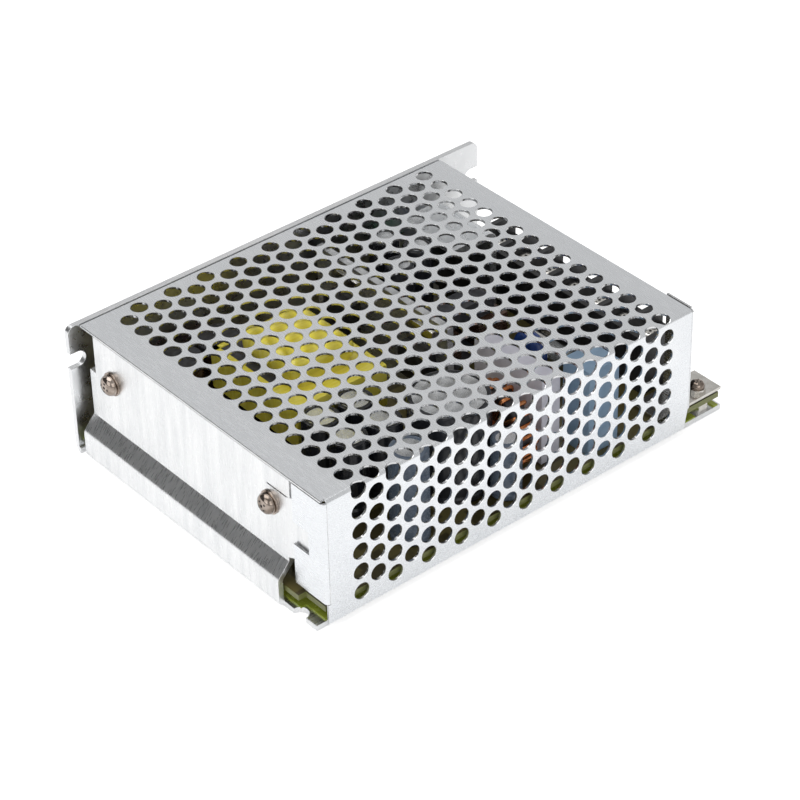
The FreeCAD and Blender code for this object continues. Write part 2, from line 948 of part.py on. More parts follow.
def centred_box(at, length_x, length_y, height):
    """Box standing on a point."""
    half = V(length_x / 2, length_y / 2, 0)
    return box(at - half, at + half + V(0, 0, height))


def from_back(x, y):
    """Point on the board's top, from its left and back edges."""
    return V(board_left + x, board_back - y, board_top)


def core_width():
    """Depth of the transformer's core, between the capacitors and the drum chokes."""
    return board_back - transformer_from_back - board_front - transformer_front


def transformer_foot():
    """Middle of the transformer on the board."""
    return from_left(transformer_left + core_length / 2, transformer_front + core_width() / 2)


def transformer_middle():
    """Middle of the transformer's core."""
    return transformer_foot() + V(0, 0, bobbin_foot + winding_gap + winding_height / 2)


def transformer_core():
    """Ferrite core: two outer limbs, two yokes and a middle limb."""
    at = transformer_middle()
    outer = V(core_length / 2, core_width() / 2, core_thickness / 2)
    core = box(at - outer, at + outer)
    windows = []
    inner_y = core_width() / 2 - core_yoke
    for side in (-1, 1):
        near = side * core_middle_limb / 2
        far = side * (core_length / 2 - core_limb)
        low = at + V(min(near, far), -inner_y, -core_thickness / 2)
        high = at + V(max(near, far), inner_y, core_thickness / 2)
        windows.append(box(low, high))
    return core.cut(windows)


def transformer_winding():
    """Taped winding round the middle limb, standing proud over and under the core."""
    at = transformer_middle()
    wide = core_length / 2 - core_limb - winding_gap
    long = core_width() / 2 - core_yoke - winding_gap
    half = V(wide, long, winding_height / 2)
    block = box(at - half, at + half)
    block = block.makeFillet(winding_round, [e for e in block.Edges if e.BoundBox.YLength > long])
    limb = V(core_middle_limb / 2 + winding_gap, long, core_thickness / 2 + winding_gap)
    return block.cut(box(at - limb, at + limb))


def transformer_bobbin():
    """Bobbin foot that carries the winding and the core's yokes on the board."""
    at = transformer_foot()
    foot = centred_box(at, core_length, core_width(), bobbin_foot)
    rise = transformer_middle().z - core_thickness / 2 - at.z
    inner_y = core_width() / 2 - core_yoke
    for side in (-1, 1):
        near = side * inner_y
        far = side * core_width() / 2
        low = at + V(-core_middle_limb, min(near, far), 0)
        high = at + V(core_middle_limb, max(near, far), rise)
        foot = foot.fuse(box(low, high))
    return foot


def output_capacitors():
    """Two by two block of output capacitors."""
    first = from_left(output_cans_from_left, output_cans_from_front)
    places = [V(x, y, 0) * output_can_pitch for x in (0, 1) for y in (0, 1)]
    return [upright_can(first + place, output_can, output_can_height) for place in places]


def bulk_capacitor():
    """Large input capacitor."""
    return upright_can(from_left(bulk_from_left, bulk_from_front), bulk_can, bulk_can_height)


def sleeved_capacitors():
    """Tall and low capacitor in slate sleeves behind the perforated side."""
    tall = upright_can(from_left(sleeve_from_left, sleeve_from_front), sleeve_can, sleeve_can_height)
    low = upright_can(from_left(low_from_left, low_from_front), low_can, low_can_height)
    return [tall, low]


def signal_capacitors():
    """Three small capacitors between the heatsinks."""
    return [upright_can(from_back(x, y), signal_can, signal_can_height) for x, y in signal_places]


def choke_axis():
    """Middle of the ring choke, which stands on its rim."""
    return from_left(choke_from_left, choke_from_front) + V(0, 0, choke_outer / 2)


def ring(at, outer, inner, width):
    """Ring round X."""
    start = at - V(width / 2, 0, 0)
    end = at + V(width / 2, 0, 0)
    return bar(outer, start, end, ring_sides).cut(bore(inner, start, end, ring_sides))


def choke_core():
    """Powder ring core of the choke."""
    core_wide = choke_width - 2 * choke_copper
    return ring(choke_axis(), choke_outer, choke_inner, core_wide)


def choke_winding():
    """Copper winding wrapped round the ring core, open at the bottom for its leads."""
    at = choke_axis()
    slack = 2 * thread_clearance
    outer = choke_outer + 2 * choke_copper
    inner = choke_inner - 2 * choke_copper
    wrap = ring(at, outer, inner, choke_width)
    core_wide = choke_width - 2 * choke_copper
    wrap = wrap.cut(ring(at, choke_outer + slack, choke_inner - slack, core_wide + slack))
    opening = math.radians((360 - choke_wound_turn) / 2)
    wedge = plate(
        [
            at - V(choke_width, 0, 0),
            at + V(-choke_width, outer * math.sin(opening), -outer * math.cos(opening)),
            at + V(-choke_width, -outer * math.sin(opening), -outer * math.cos(opening)),
        ],
        [],
        V(2 * choke_width, 0, 0),
    )
    return wrap.cut(wedge)


def film_capacitor():
    """Narrow pale box capacitor along the middle of the board."""
    at = from_left(film_box_from_left, film_box_from_front)
    return centred_box(at, film_box_width, film_box_length, film_box_height)


def interference_capacitor():
    """Tall light blue box capacitor close behind the perforated side."""
    at = from_right(blue_box_from_right, blue_box_from_front)
    return centred_box(at, blue_box_width, blue_box_length, blue_box_height)


def disc_on_leads(at, across, diameter, thickness, lift):
    """Standing disc with two straight leads, its flat sides facing along across."""
    middle = at + V(0, 0, lift + diameter / 2)
    half_thick = across * (thickness / 2)
    disc = bar(diameter, middle - half_thick, middle + half_thick, can_sides)
    spread = across.cross(V(0, 0, 1)) * (diameter / 4)
    half = V(lead_width / 2, lead_width / 2, 0)
    up = V(0, 0, lift + diameter / 2)
    leads = [box(foot - half, foot + half + up) for foot in (at - spread, at + spread)]
    return disc.fuse(leads)


def safety_capacitors():
    """Blue disc capacitor across the board's isolation gap."""
    at = from_right(disc_from_right, disc_from_front)
    return disc_on_leads(at, V(1, 0, 0), disc_diameter, disc_thickness, disc_lift)


def inrush_thermistor():
    """Green disc thermistor behind the folded heatsink."""
    at = V(board_right - thermistor_from_right, board_back - thermistor_from_back, board_top)
    return disc_on_leads(at, V(0, 1, 0), thermistor_diameter, thermistor_thickness, thermistor_lift)


def heatsink():
    """Upright aluminium heatsink along the middle of the board."""
    half = V(sink_sheet / 2, 0, 0)
    low = from_left(sink_from_left, sink_front) - half
    high = from_back(sink_from_left, sink_from_back) + half
    return box(low, high + V(0, 0, sink_height))


def heatsink_devices():
    """Power devices on the heatsink's left face."""
    face = board_left + sink_from_left - sink_sheet / 2
    height = floor + wall_screw_height
    lengthwise = (board_front + sink_device_front, board_back - sink_device_from_back)
    return [device(V(face, y, height), V(-1, 0, 0), wall_device_drop()) for y in lengthwise]


def bright_sink_middle():
    """Foot of the folded heatsink's outer face, half way along it."""
    return V(board_right - bright_sink_from_right, board_back - bright_sink_from_back, board_top)


def input_heatsink():
    """Bright folded heatsink beside the terminal block, with a lip on top."""
    at = bright_sink_middle() - V(0, bright_sink_length / 2, 0)
    top = at + V(0, 0, bright_sink_height)
    path = [at, top, top - V(bright_sink_lip, 0, 0)]
    return bent_sheet(path, sink_sheet, chassis_bend, V(0, bright_sink_length, 0))


def bridge_rectifier():
    """Flat bridge rectifier against the input heatsink."""
    at = bright_sink_middle() - V(0, bridge_width / 2, 0)
    low = at + V(-bridge_thickness, 0, bridge_lift)
    body = box(low, low + V(bridge_thickness, bridge_width, bridge_height))
    for k in range(4):
        foot = at + V(-bridge_thickness / 2, bridge_width * (k + 0.5) / 4, 0)
        body = body.fuse(box(foot, foot + V(lead_width, lead_width, bridge_lift)))
    return body


def filter_middle():
    """Foot of the line filter on the board, in front of the folded heatsink."""
    reach = filter_core_depth / 2 + filter_coil_wall + filter_gap
    y = bright_sink_middle().y - bright_sink_length / 2 - reach
    return V(board_right - filter_from_right, y, board_top)


def line_filter_core():
    """Closed rectangular ferrite core of the line filter."""
    at = filter_middle()
    core = centred_box(at, filter_core_width, filter_core_depth, filter_core_height)
    limb = filter_core_limb
    low = at + V(limb - filter_core_width / 2, -filter_core_depth / 2, limb)
    high = at + V(filter_core_width / 2 - limb, filter_core_depth / 2, filter_core_height - limb)
    return core.cut(box(low, high))


def line_filter_coils():
    """Two coils on the upright limbs of the line filter."""
    coils = []
    limb = filter_core_limb
    height = filter_core_height - 2 * limb - 2 * winding_gap
    wide = limb + 2 * filter_coil_wall
    deep = filter_core_depth + 2 * filter_coil_wall
    slack = 2 * thread_clearance
    for side in (-1, 1):
        x = side * (filter_core_width - limb) / 2
        at = filter_middle() + V(x, 0, limb + winding_gap)
        outer = centred_box(at, wide, deep, height)
        coils.append(outer.cut(centred_box(at, limb + slack, filter_core_depth + slack, height)))
    return coils


def fuse_start():
    """Front end of the fuse's axis."""
    at = from_right(fuse_from_right, fuse_from_front - fuse_length / 2)
    return at + V(0, 0, fuse_lift + clip_sheet + fuse_diameter / 2)


def fuse():
    """Glass fuse along Y."""
    start = fuse_start()
    return bar(fuse_diameter, start, start + V(0, fuse_length, 0), fastener_sides)


def fuse_clips():
    """Spring clips under the fuse's end caps."""
    clips = []
    start = fuse_start()
    for y in (fuse_cap / 2, fuse_length - fuse_cap / 2):
        at = V(start.x, start.y + y, board_top)
        reach = fuse_diameter / 2 + clip_sheet
        outer = centred_box(at, 2 * reach, clip_width, fuse_lift + clip_sheet + fuse_diameter)
        seat = at + V(0, 0, fuse_lift + clip_sheet)
        clips.append(outer.cut(centred_box(seat, fuse_diameter, clip_width, fuse_diameter)))
    return clips


def drum_foot(index):
    """Foot of one drum choke on the board."""
    return from_back(drum_from_left + drum_pitch * index, drum_from_back)


def drum_chokes():
    """Drum cores of the output filter chokes, behind the transformer."""
    drums = []
    for index in range(2):
        at = drum_foot(index)
        top = at + V(0, 0, drum_height)
        flange = V(0, 0, drum_flange)
        low = bar(drum_diameter, at, at + flange, can_sides)
        high = bar(drum_diameter, top - flange, top, can_sides)
        drums.append(bar(drum_neck, at, top, can_sides).fuse([low, high]))
    return drums


def drum_windings():
    """Copper windings on the drum cores."""
    coils = []
    for index in range(2):
        at = drum_foot(index)
        low = at + V(0, 0, drum_flange + thread_clearance)
        high = at + V(0, 0, drum_height - drum_flange - thread_clearance)
        outer = bar(drum_diameter - 2 * thread_clearance, low, high, can_sides)
        coils.append(outer.cut(bore(drum_neck + 2 * thread_clearance, low, high, can_sides)))
    return coils


def optocouplers():
    """Two small moulded packages of the feedback circuit."""
    first = from_left(chips_from_left, chips_from_front)
    return [centred_box(first + V(0, chip_pitch * k, 0), chip_width, chip_length, chip_height) for k in range(2)]


def resistors():
    """Resistors lying end to end along the board's back edge."""
    bars = []
    for k in range(resistor_count):
        at = from_back(resistors_from_left + resistor_pitch * k, resistors_from_back)
        start = at + V(0, 0, resistor_diameter / 2)
        bars.append(bar(resistor_diameter, start, start + V(resistor_length, 0, 0), fastener_sides))
    return bars


def save(name, shapes):
    """Write one node, which may hold several separate solids."""
    solids = shapes if isinstance(shapes, list) else [shapes]
    flat = [solid for shape in solids for solid in shape.Solids]
    whole = flat[0] if len(flat) == 1 else Part.makeCompound(flat)
    whole.exportStep(os.path.join("parts", name + ".step"))


os.makedirs("parts", exist_ok=True)
for make in (
    chassis,
    mesh_cover,
    wall_screws,
    wall_washers,
    wall_devices,
    thermal_pads,
    device_nuts,
    insulating_film,
    circuit_board,
    standoffs,
    board_screws,
    earthing_plate,
    earthing_washers,
    earthing_screw,
    terminal_block,
    terminal_clamps,
    terminal_screws,
    trimmer_body,
    trimmer_rotor,
    power_lamp,
    transformer_core,
    transformer_winding,
    transformer_bobbin,
    output_capacitors,
    bulk_capacitor,
    sleeved_capacitors,
    signal_capacitors,
    choke_core,
    choke_winding,
    film_capacitor,
    interference_capacitor,
    safety_capacitors,
    inrush_thermistor,
    heatsink,
    heatsink_devices,
    input_heatsink,
    bridge_rectifier,
    line_filter_core,
    line_filter_coils,
    fuse,
    fuse_clips,
    drum_chokes,
    drum_windings,
    optocouplers,
    resistors,
):
    save(make.__name__, make())
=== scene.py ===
import math

import bmesh
import bpy
from mathutils import Matrix, Vector


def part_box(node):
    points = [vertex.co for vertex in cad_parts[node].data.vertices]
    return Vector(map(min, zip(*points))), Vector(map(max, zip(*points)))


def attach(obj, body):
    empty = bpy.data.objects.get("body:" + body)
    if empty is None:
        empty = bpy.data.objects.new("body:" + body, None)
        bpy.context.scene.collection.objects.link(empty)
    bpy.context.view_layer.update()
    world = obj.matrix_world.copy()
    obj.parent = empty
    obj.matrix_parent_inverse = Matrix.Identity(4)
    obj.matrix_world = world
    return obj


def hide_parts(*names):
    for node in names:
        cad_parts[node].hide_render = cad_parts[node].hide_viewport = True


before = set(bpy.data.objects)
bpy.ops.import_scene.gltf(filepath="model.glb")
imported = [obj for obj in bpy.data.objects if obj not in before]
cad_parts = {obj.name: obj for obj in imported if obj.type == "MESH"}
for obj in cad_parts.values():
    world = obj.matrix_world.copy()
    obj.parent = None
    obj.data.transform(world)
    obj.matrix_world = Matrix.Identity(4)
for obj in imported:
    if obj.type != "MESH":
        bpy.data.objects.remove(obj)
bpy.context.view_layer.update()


# Chassis: bottom plate, stepped left wall and tall back plate with its two ears.
# One blank of 1.5 mm aluminium sheet with a mill finish, punched and folded on a press brake.


def node_tree(name):
    """A new material with its node tree and main shader."""
    material = bpy.data.materials.new(name)
    material.use_nodes = True
    tree = material.node_tree
    return material, tree, tree.nodes["Principled BSDF"]


def object_noise(tree, scale, stretch, detail):
    """Noise on the object's own coordinates, stretched along each axis."""
    place = tree.nodes.new("ShaderNodeTexCoord")
    turn = tree.nodes.new("ShaderNodeMapping")
    turn.inputs["Scale"].default_value = stretch
    noise = tree.nodes.new("ShaderNodeTexNoise")
    noise.inputs["Scale"].default_value = scale
    noise.inputs["Detail"].default_value = detail
    tree.links.new(place.outputs["Object"], turn.inputs["Vector"])
    tree.links.new(turn.outputs["Vector"], noise.inputs["Vector"])
    return noise.outputs["Fac"]


def vary_colour(tree, shader, fac, low, high):
    """Drives the base colour between two tones."""
    ramp = tree.nodes.new("ShaderNodeValToRGB")
    ramp.color_ramp.elements[0].position = 0.35
    ramp.color_ramp.elements[0].color = (*low, 1.0)
    ramp.color_ramp.elements[1].position = 0.65
    ramp.color_ramp.elements[1].color = (*high, 1.0)
    tree.links.new(fac, ramp.inputs["Fac"])
    tree.links.new(ramp.outputs["Color"], shader.inputs["Base Color"])


def vary_value(tree, fac, socket, low, high):
    """Drives one number between two limits."""
    span = tree.nodes.new("ShaderNodeMapRange")
    span.inputs["From Min"].default_value = 0.3
    span.inputs["From Max"].default_value = 0.7
    span.inputs["To Min"].default_value = low
    span.inputs["To Max"].default_value = high
    tree.links.new(fac, span.inputs["Value"])
    tree.links.new(span.outputs["Result"], socket)


relief_depth = 0.00003


def relief(tree, shader, fac, strength, edge):
    """Surface relief from a pattern, with slightly rounded edges under it."""
    bump = tree.nodes.new("ShaderNodeBump")
    bump.inputs["Strength"].default_value = strength
    bump.inputs["Distance"].default_value = relief_depth
    tree.links.new(fac, bump.inputs["Height"])
    tree.links.new(bump.outputs["Normal"], shader.inputs["Normal"])
    if edge:
        bevel = tree.nodes.new("ShaderNodeBevel")
        bevel.samples = 4
        bevel.inputs["Radius"].default_value = edge
        tree.links.new(bevel.outputs["Normal"], bump.inputs["Normal"])


def skin(node, material):
    """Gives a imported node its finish."""
    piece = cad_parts[node]
    if not piece.material_slots:
        piece.data.materials.append(material)
    for slot in piece.material_slots:
        slot.link = "OBJECT"
        slot.material = material


def coated(name, low, high, rough, scale=220.0, stretch=(1.0, 1.0, 1.0), bump=0.15, edge=0.00012, metal=0.0):
    """A finish whose tone, gloss and relief all vary a little over the surface."""
    material, tree, shader = node_tree(name)
    broad = object_noise(tree, scale, stretch, 4.0)
    fine = object_noise(tree, scale * 9.0, stretch, 3.0)
    vary_colour(tree, shader, broad, low, high)
    vary_value(tree, fine, shader.inputs["Roughness"], rough * 0.8, rough * 1.25)
    relief(tree, shader, fine, bump, edge)
    shader.inputs["Metallic"].default_value = metal
    return material


chassis_skin = coated(
    "chassis sheet",
    (0.83, 0.84, 0.85),
    (0.93, 0.935, 0.94),
    0.30,
    scale=60.0,
    stretch=(0.7, 7.0, 0.7),
    bump=0.14,
    edge=0.0002,
    metal=1.0,
)
skin("chassis", chassis_skin)


# Insulating film on the bottom plate: a yellow-green translucent sheet, die cut with openings for
# the standoffs and the mounts. A faint emission all over it is painted glow, standing in for light caught in
# the sheet.
film_skin = coated("insulating film", (0.20, 0.27, 0.025), (0.34, 0.40, 0.05), 0.25, scale=90.0, bump=0.05)
film_shader = film_skin.node_tree.nodes["Principled BSDF"]
film_shader.inputs["Transmission Weight"].default_value = 0.15
# Painted glow: a faint yellow-green emission over the whole film.
film_shader.inputs["Emission Color"].default_value = (0.75, 0.80, 0.10, 1.0)
film_shader.inputs["Emission Strength"].default_value = 0.03
skin("insulating_film", film_skin)


# Standoffs: hexagonal steel posts, nickel plated and pressed into the bottom plate.
# They carry the board and take its screws.
plated_skin = coated(
    "nickel plating",
    (0.66, 0.64, 0.60),
    (0.78, 0.76, 0.72),
    0.20,
    scale=400.0,
    metal=1.0,
    edge=0.0001,
)
skin("standoffs", plated_skin)


# Circuit board: laminate under a brownish olive lacquer, with darker patches in a made-up pattern
# that stand for its tracks. The cut edge shows the greenish core.
board_skin, board_tree, board_shader = node_tree("board laminate")
board_place = board_tree.nodes.new("ShaderNodeTexCoord")
board_cells = board_tree.nodes.new("ShaderNodeTexVoronoi")
board_cells.distance = "CHEBYCHEV"
board_cells.inputs["Scale"].default_value = 110.0
board_tree.links.new(board_place.outputs["Object"], board_cells.inputs["Vector"])
board_tracks = board_tree.nodes.new("ShaderNodeValToRGB")
board_tracks.color_ramp.elements[0].position = 0.42
board_tracks.color_ramp.elements[0].color = (0.050, 0.040, 0.012, 1.0)
board_tracks.color_ramp.elements[1].position = 0.47
board_tracks.color_ramp.elements[1].color = (0.115, 0.095, 0.030, 1.0)
board_tree.links.new(board_cells.outputs["Distance"], board_tracks.inputs["Fac"])
board_side = board_tree.nodes.new("ShaderNodeNewGeometry")
board_axis = board_tree.nodes.new("ShaderNodeSeparateXYZ")
board_tree.links.new(board_side.outputs["Normal"], board_axis.inputs["Vector"])
board_flat = board_tree.nodes.new("ShaderNodeMath")
board_flat.operation = "ABSOLUTE"
board_tree.links.new(board_axis.outputs["Z"], board_flat.inputs[0])
board_grain = object_noise(board_tree, 900.0, (1.0, 1.0, 3.0), 3.0)
board_core = board_tree.nodes.new("ShaderNodeValToRGB")
board_core.color_ramp.elements[0].color = (0.10, 0.11, 0.035, 1.0)
board_core.color_ramp.elements[1].color = (0.24, 0.25, 0.09, 1.0)
board_tree.links.new(board_grain, board_core.inputs["Fac"])
board_mix = board_tree.nodes.new("ShaderNodeMix")
board_mix.data_type = "RGBA"
board_tree.links.new(board_flat.outputs["Value"], board_mix.inputs["Factor"])
board_tree.links.new(board_core.outputs["Color"], board_mix.inputs["A"])
board_tree.links.new(board_tracks.outputs["Color"], board_mix.inputs["B"])
board_tree.links.new(board_mix.outputs["Result"], board_shader.inputs["Base Color"])
vary_value(board_tree, board_grain, board_shader.inputs["Roughness"], 0.28, 0.42)
relief(board_tree, board_shader, board_cells.outputs["Distance"], 0.2, 0.0)
skin("circuit_board", board_skin)


# Board screws: three pan head screws of plated steel, driven into the standoffs.
# Their heads are formed cold, with the cross recess pressed in.


def corners(node):
    """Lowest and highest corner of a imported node, in millimetres."""
    low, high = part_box(node)
    return Vector(low) * 1000.0, Vector(high) * 1000.0


def turned(bm, profile, centre, axis, steps):
    """Revolves a profile of radius and height about an axis through centre."""
    turn = Vector((0.0, 0.0, 1.0)).rotation_difference(Vector(axis)).to_matrix()
    verts = [bm.verts.new(centre + turn @ Vector((radius, 0.0, height))) for radius, height in profile]
    edges = [bm.edges.new(pair) for pair in zip(verts, verts[1:])]
    bmesh.ops.spin(
        bm,
        geom=verts + edges,
        cent=centre,
        axis=axis,
        angle=math.tau,
        steps=steps,
        use_merge=True,
    )
    bmesh.ops.remove_doubles(bm, verts=bm.verts, dist=0.0005)


def block(bm, low, high, round_by=0.0, segments=2):
    """Box between two corners, its edges rounded by a bevel."""
    made = bmesh.ops.create_cube(bm, size=1.0)
    size = high - low
    place = Matrix.Translation((low + high) / 2) @ Matrix.Diagonal((size.x, size.y, size.z, 1.0))
    bmesh.ops.transform(bm, matrix=place, verts=made["verts"])
    if round_by:
        edges = list({edge for vert in made["verts"] for edge in vert.link_edges})
        bmesh.ops.bevel(
            bm,
            geom=edges,
            offset=round_by,
            offset_type="OFFSET",
            segments=segments,
            profile=0.5,
            affect="EDGES",
            material=-1,
        )


def finish_piece(name, bm, materials, nodes, body="housing", smooth=35.0):
    """Turns a mesh built in millimetres into a shown piece that rides on a body."""
    bmesh.ops.scale(bm, vec=(0.001, 0.001, 0.001), verts=bm.verts)
    bmesh.ops.recalc_face_normals(bm, faces=bm.faces)
    mesh = bpy.data.meshes.new(name)
    bm.to_mesh(mesh)
    bm.free()
    for material in materials:
        mesh.materials.append(material)
    mesh.shade_smooth()
    mesh.set_sharp_from_angle(angle=math.radians(smooth))
    piece = bpy.data.objects.new(name, mesh)
    bpy.context.scene.collection.objects.link(piece)
    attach(piece, body)
    if nodes:
        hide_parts(*nodes)


def screw(bm, seat, axis, head, rise, shank, length):
    """Pan head screw with a cross recess, its head standing on seat."""
    radius = head / 2
    profile = [
        (0.0, rise * 0.42),
        (radius * 0.14, rise * 0.42),
        (radius * 0.14, rise * 0.98),
        (radius * 0.32, rise * 0.99),
        (radius * 0.62, rise * 0.90),
        (radius * 0.86, rise * 0.68),
        (radius * 0.98, rise * 0.38),
        (radius, rise * 0.16),
        (radius * 0.97, 0.0),
        (shank / 2, 0.0),
        (shank / 2, -length),
        (0.0, -length),
    ]
    turned(bm, profile, seat, axis, 32)


def recess(bm, seat, axis, head, rise, spin):
    """Dark arms in the shape of the cross recess, let into a screw head's crown: painted shade of the hollow.
    """
    turn = Vector((0.0, 0.0, 1.0)).rotation_difference(Vector(axis)).to_matrix().to_4x4()
    for quarter in (0.0, 90.0):
        made = bmesh.ops.create_cube(bm, size=1.0)
        shape = Matrix.Diagonal((head * 0.50, head * 0.10, rise * 0.30, 1.0))
        lift = Matrix.Translation((0.0, 0.0, rise * 0.83))
        twist = Matrix.Rotation(math.radians(spin + quarter), 4, "Z")
        place = Matrix.Translation(seat) @ turn @ twist @ lift @ shape
        bmesh.ops.transform(bm, matrix=place, verts=made["verts"])


# Painted shade: near-black blocks stand in for the shadow inside each cross recess.
recess_shade_skin = coated("painted recess shade", (0.03, 0.028, 0.025), (0.07, 0.065, 0.06), 0.5, scale=500.0, metal=0.6)
low, high = corners("board_screws")
board_top = corners("circuit_board")[1].z
board_screw_bm = bmesh.new()
board_recess_shade_bm = bmesh.new()
upward = (0.0, 0.0, 1.0)
pan_head = 5.6
pan_radius = pan_head / 2
pan_rise = 2.2
pan_shank = 3.0
board_screw_length = 4.2
screw_places = (
    (low.x + pan_radius, low.y + pan_radius, 20.0),
    (low.x + pan_radius, high.y - pan_radius, 65.0),
    (high.x - pan_radius, high.y - pan_radius, 40.0),
)
for x, y, spin in screw_places:
    seat = Vector((x, y, board_top))
    screw(board_screw_bm, seat, upward, pan_head, pan_rise, pan_shank, board_screw_length)
    recess(board_recess_shade_bm, seat, upward, pan_head, pan_rise, spin)
finish_piece("board_screw_heads", board_screw_bm, [plated_skin], ["board_screws"])
finish_piece("board_screw_recess_shade", board_recess_shade_bm, [recess_shade_skin], [])


# Transformer: a ferrite core of two halves glued round a moulded bobbin. The winding is copper
# under yellow polyester tape, which also runs once round the core.
ferrite_skin = coated(
    "ferrite",
    (0.035, 0.035, 0.04),
    (0.07, 0.07, 0.078),
    0.5,
    scale=500.0,
    bump=0.3,
    edge=0.0003,
)
skin("transformer_core", ferrite_skin)
moulded_skin = coated(
    "black moulding",
    (0.012, 0.012, 0.013),
    (0.03, 0.03, 0.032),
    0.42,
    scale=600.0,
    bump=0.25,
    edge=0.0002,
)
skin("transformer_bobbin", moulded_skin)
tape_skin = coated(
    "yellow tape",
    (0.90, 0.77, 0.07),
    (0.96, 0.85, 0.14),
    0.22,
    scale=160.0,
    stretch=(1.0, 8.0, 1.0),
    bump=0.2,
)
low, high = corners("transformer_winding")
core_low, core_high = corners("transformer_core")
tape_wrap = 0.25
tape_sunk = 0.05
tape_turn = 1.5
tape_band = 11.0
tape_bulge = 3.0
wrap = Vector((tape_wrap, tape_wrap, tape_wrap))
bulge = Vector((tape_turn, 0.0, 0.0))
winding_bm = bmesh.new()
block(winding_bm, low, high - Vector((0.0, 0.0, 0.8)), tape_bulge, 4)
block(winding_bm, core_low - wrap, Vector((core_high.x, core_low.y + tape_band, core_high.z)) + wrap, 0.4)
block(winding_bm, Vector((low.x, low.y, core_high.z + 0.3)) - bulge, high + bulge, tape_bulge, 4)
hem_low = Vector((core_low.x - tape_wrap, core_low.y + tape_band, core_low.z + 0.4))
hem_high = core_high + wrap
hem_top = core_high.z - tape_sunk
for start, end in (
    (hem_low, Vector((core_low.x + tape_sunk, hem_high.y, hem_high.z))),
    (Vector((core_high.x - tape_sunk, hem_low.y, hem_low.z)), hem_high),
    (Vector((hem_low.x, core_high.y - tape_sunk, hem_low.z)), hem_high),
    (Vector((hem_low.x, hem_low.y, hem_top)), Vector((core_low.x + tape_turn, hem_high.y, hem_high.z))),
    (Vector((core_high.x - tape_turn, hem_low.y, hem_top)), hem_high),
    (Vector((hem_low.x, core_high.y - tape_turn, hem_top)), hem_high),
):
    block(winding_bm, start, end)
finish_piece("taped_winding", winding_bm, [tape_skin], ["transformer_winding"])


# Electrolytic capacitors: drawn aluminium cans in a shrunk plastic sleeve, with a rolled groove
# near the board and a bare top sunk a little in its rim. They stand on the board by their leads.


def can(bm, x, y, z, radius, height):
    """Sleeved can with a rolled groove and a bare recessed top."""
    profile = [
        (0.0, 0.0),
        (radius * 0.90, 0.0),
        (radius, 0.5),
        (radius, 1.8),
        (radius - 0.45, 2.3),
        (radius, 2.8),
        (radius, height - 0.7),
        (radius - 0.25, height - 0.15),
        (radius - 0.7, height),
        (radius - 1.25, height - 0.05),
        (radius - 1.35, height - 0.25),
        (0.0, height - 0.25),
    ]
    turned(bm, profile, Vector((x, y, z)), upward, 40)


def bare_tops(bm, rims):
    """Marks the faces inside the sleeves' rims as bare metal."""
    for face in bm.faces:
        centre = face.calc_center_median()
        for x, y, z, radius in rims:
            inside = math.hypot(centre.x - x, centre.y - y) < radius - 1.1
            if face.normal.z > 0.7 and inside and abs(centre.z - z) < 0.6:
                face.material_index = 1


sleeve_skin = coated(
    "dark sleeve",
    (0.010, 0.011, 0.014),
    (0.03, 0.032, 0.038),
    0.20,
    scale=200.0,
    stretch=(1.0, 1.0, 0.2),
    bump=0.1,
)
slate_skin = coated("slate sleeve", (0.115, 0.150, 0.205), (0.155, 0.195, 0.255), 0.25, scale=200.0, bump=0.1)
can_top_skin = coated(
    "bare can top",
    (0.70, 0.71, 0.72),
    (0.82, 0.83, 0.84),
    0.28,
    scale=300.0,
    stretch=(1.0, 8.0, 1.0),
    metal=1.0,
)
output_radius = 5.0
bulk_radius = 10.5
small_radius = 4.0
low_slate_height = 17.0
for name, node, slot, jacket in (
    ("sleeved_output_cans", "output_capacitors", "can_sleeve", sleeve_skin),
    ("sleeved_bulk_can", "bulk_capacitor", "can_sleeve", sleeve_skin),
    ("sleeved_small_cans", "signal_capacitors", "can_sleeve", sleeve_skin),
    ("slate_cans", "sleeved_capacitors", "slate_sleeve", slate_skin),
):
    low, high = corners(node)
    tall = high.z - low.z
    if node == "output_capacitors":
        columns = (low.x + output_radius, high.x - output_radius)
        rows = (low.y + output_radius, high.y - output_radius)
        cans = [(x, y, output_radius, tall) for x in columns for y in rows]
    elif node == "bulk_capacitor":
        cans = [((low.x + high.x) / 2, (low.y + high.y) / 2, bulk_radius, tall)]
    elif node == "signal_capacitors":
        places = ((4.0, 4.0), (9.0, 16.3), (13.0, 7.5))
        cans = [(low.x + x, low.y + y, small_radius, tall) for x, y in places]
    else:
        cans = [
            (low.x + output_radius, high.y - output_radius, output_radius, tall),
            (high.x - small_radius, low.y + small_radius, small_radius, low_slate_height),
        ]
    can_bm = bmesh.new()
    rims = []
    for x, y, radius, height in cans:
        can(can_bm, x, y, low.z, radius, height)
        rims.append((x, y, low.z + height, radius))
    bmesh.ops.recalc_face_normals(can_bm, faces=can_bm.faces)
    bare_tops(can_bm, rims)
    finish_piece(name, can_bm, [jacket, can_top_skin], [node])


# Ring choke: a powder core wound with thick enamelled copper wire, standing on its rim.
# Each turn is one wire swept round the ring's section, with its four bends.
quarter_turn = math.pi / 2


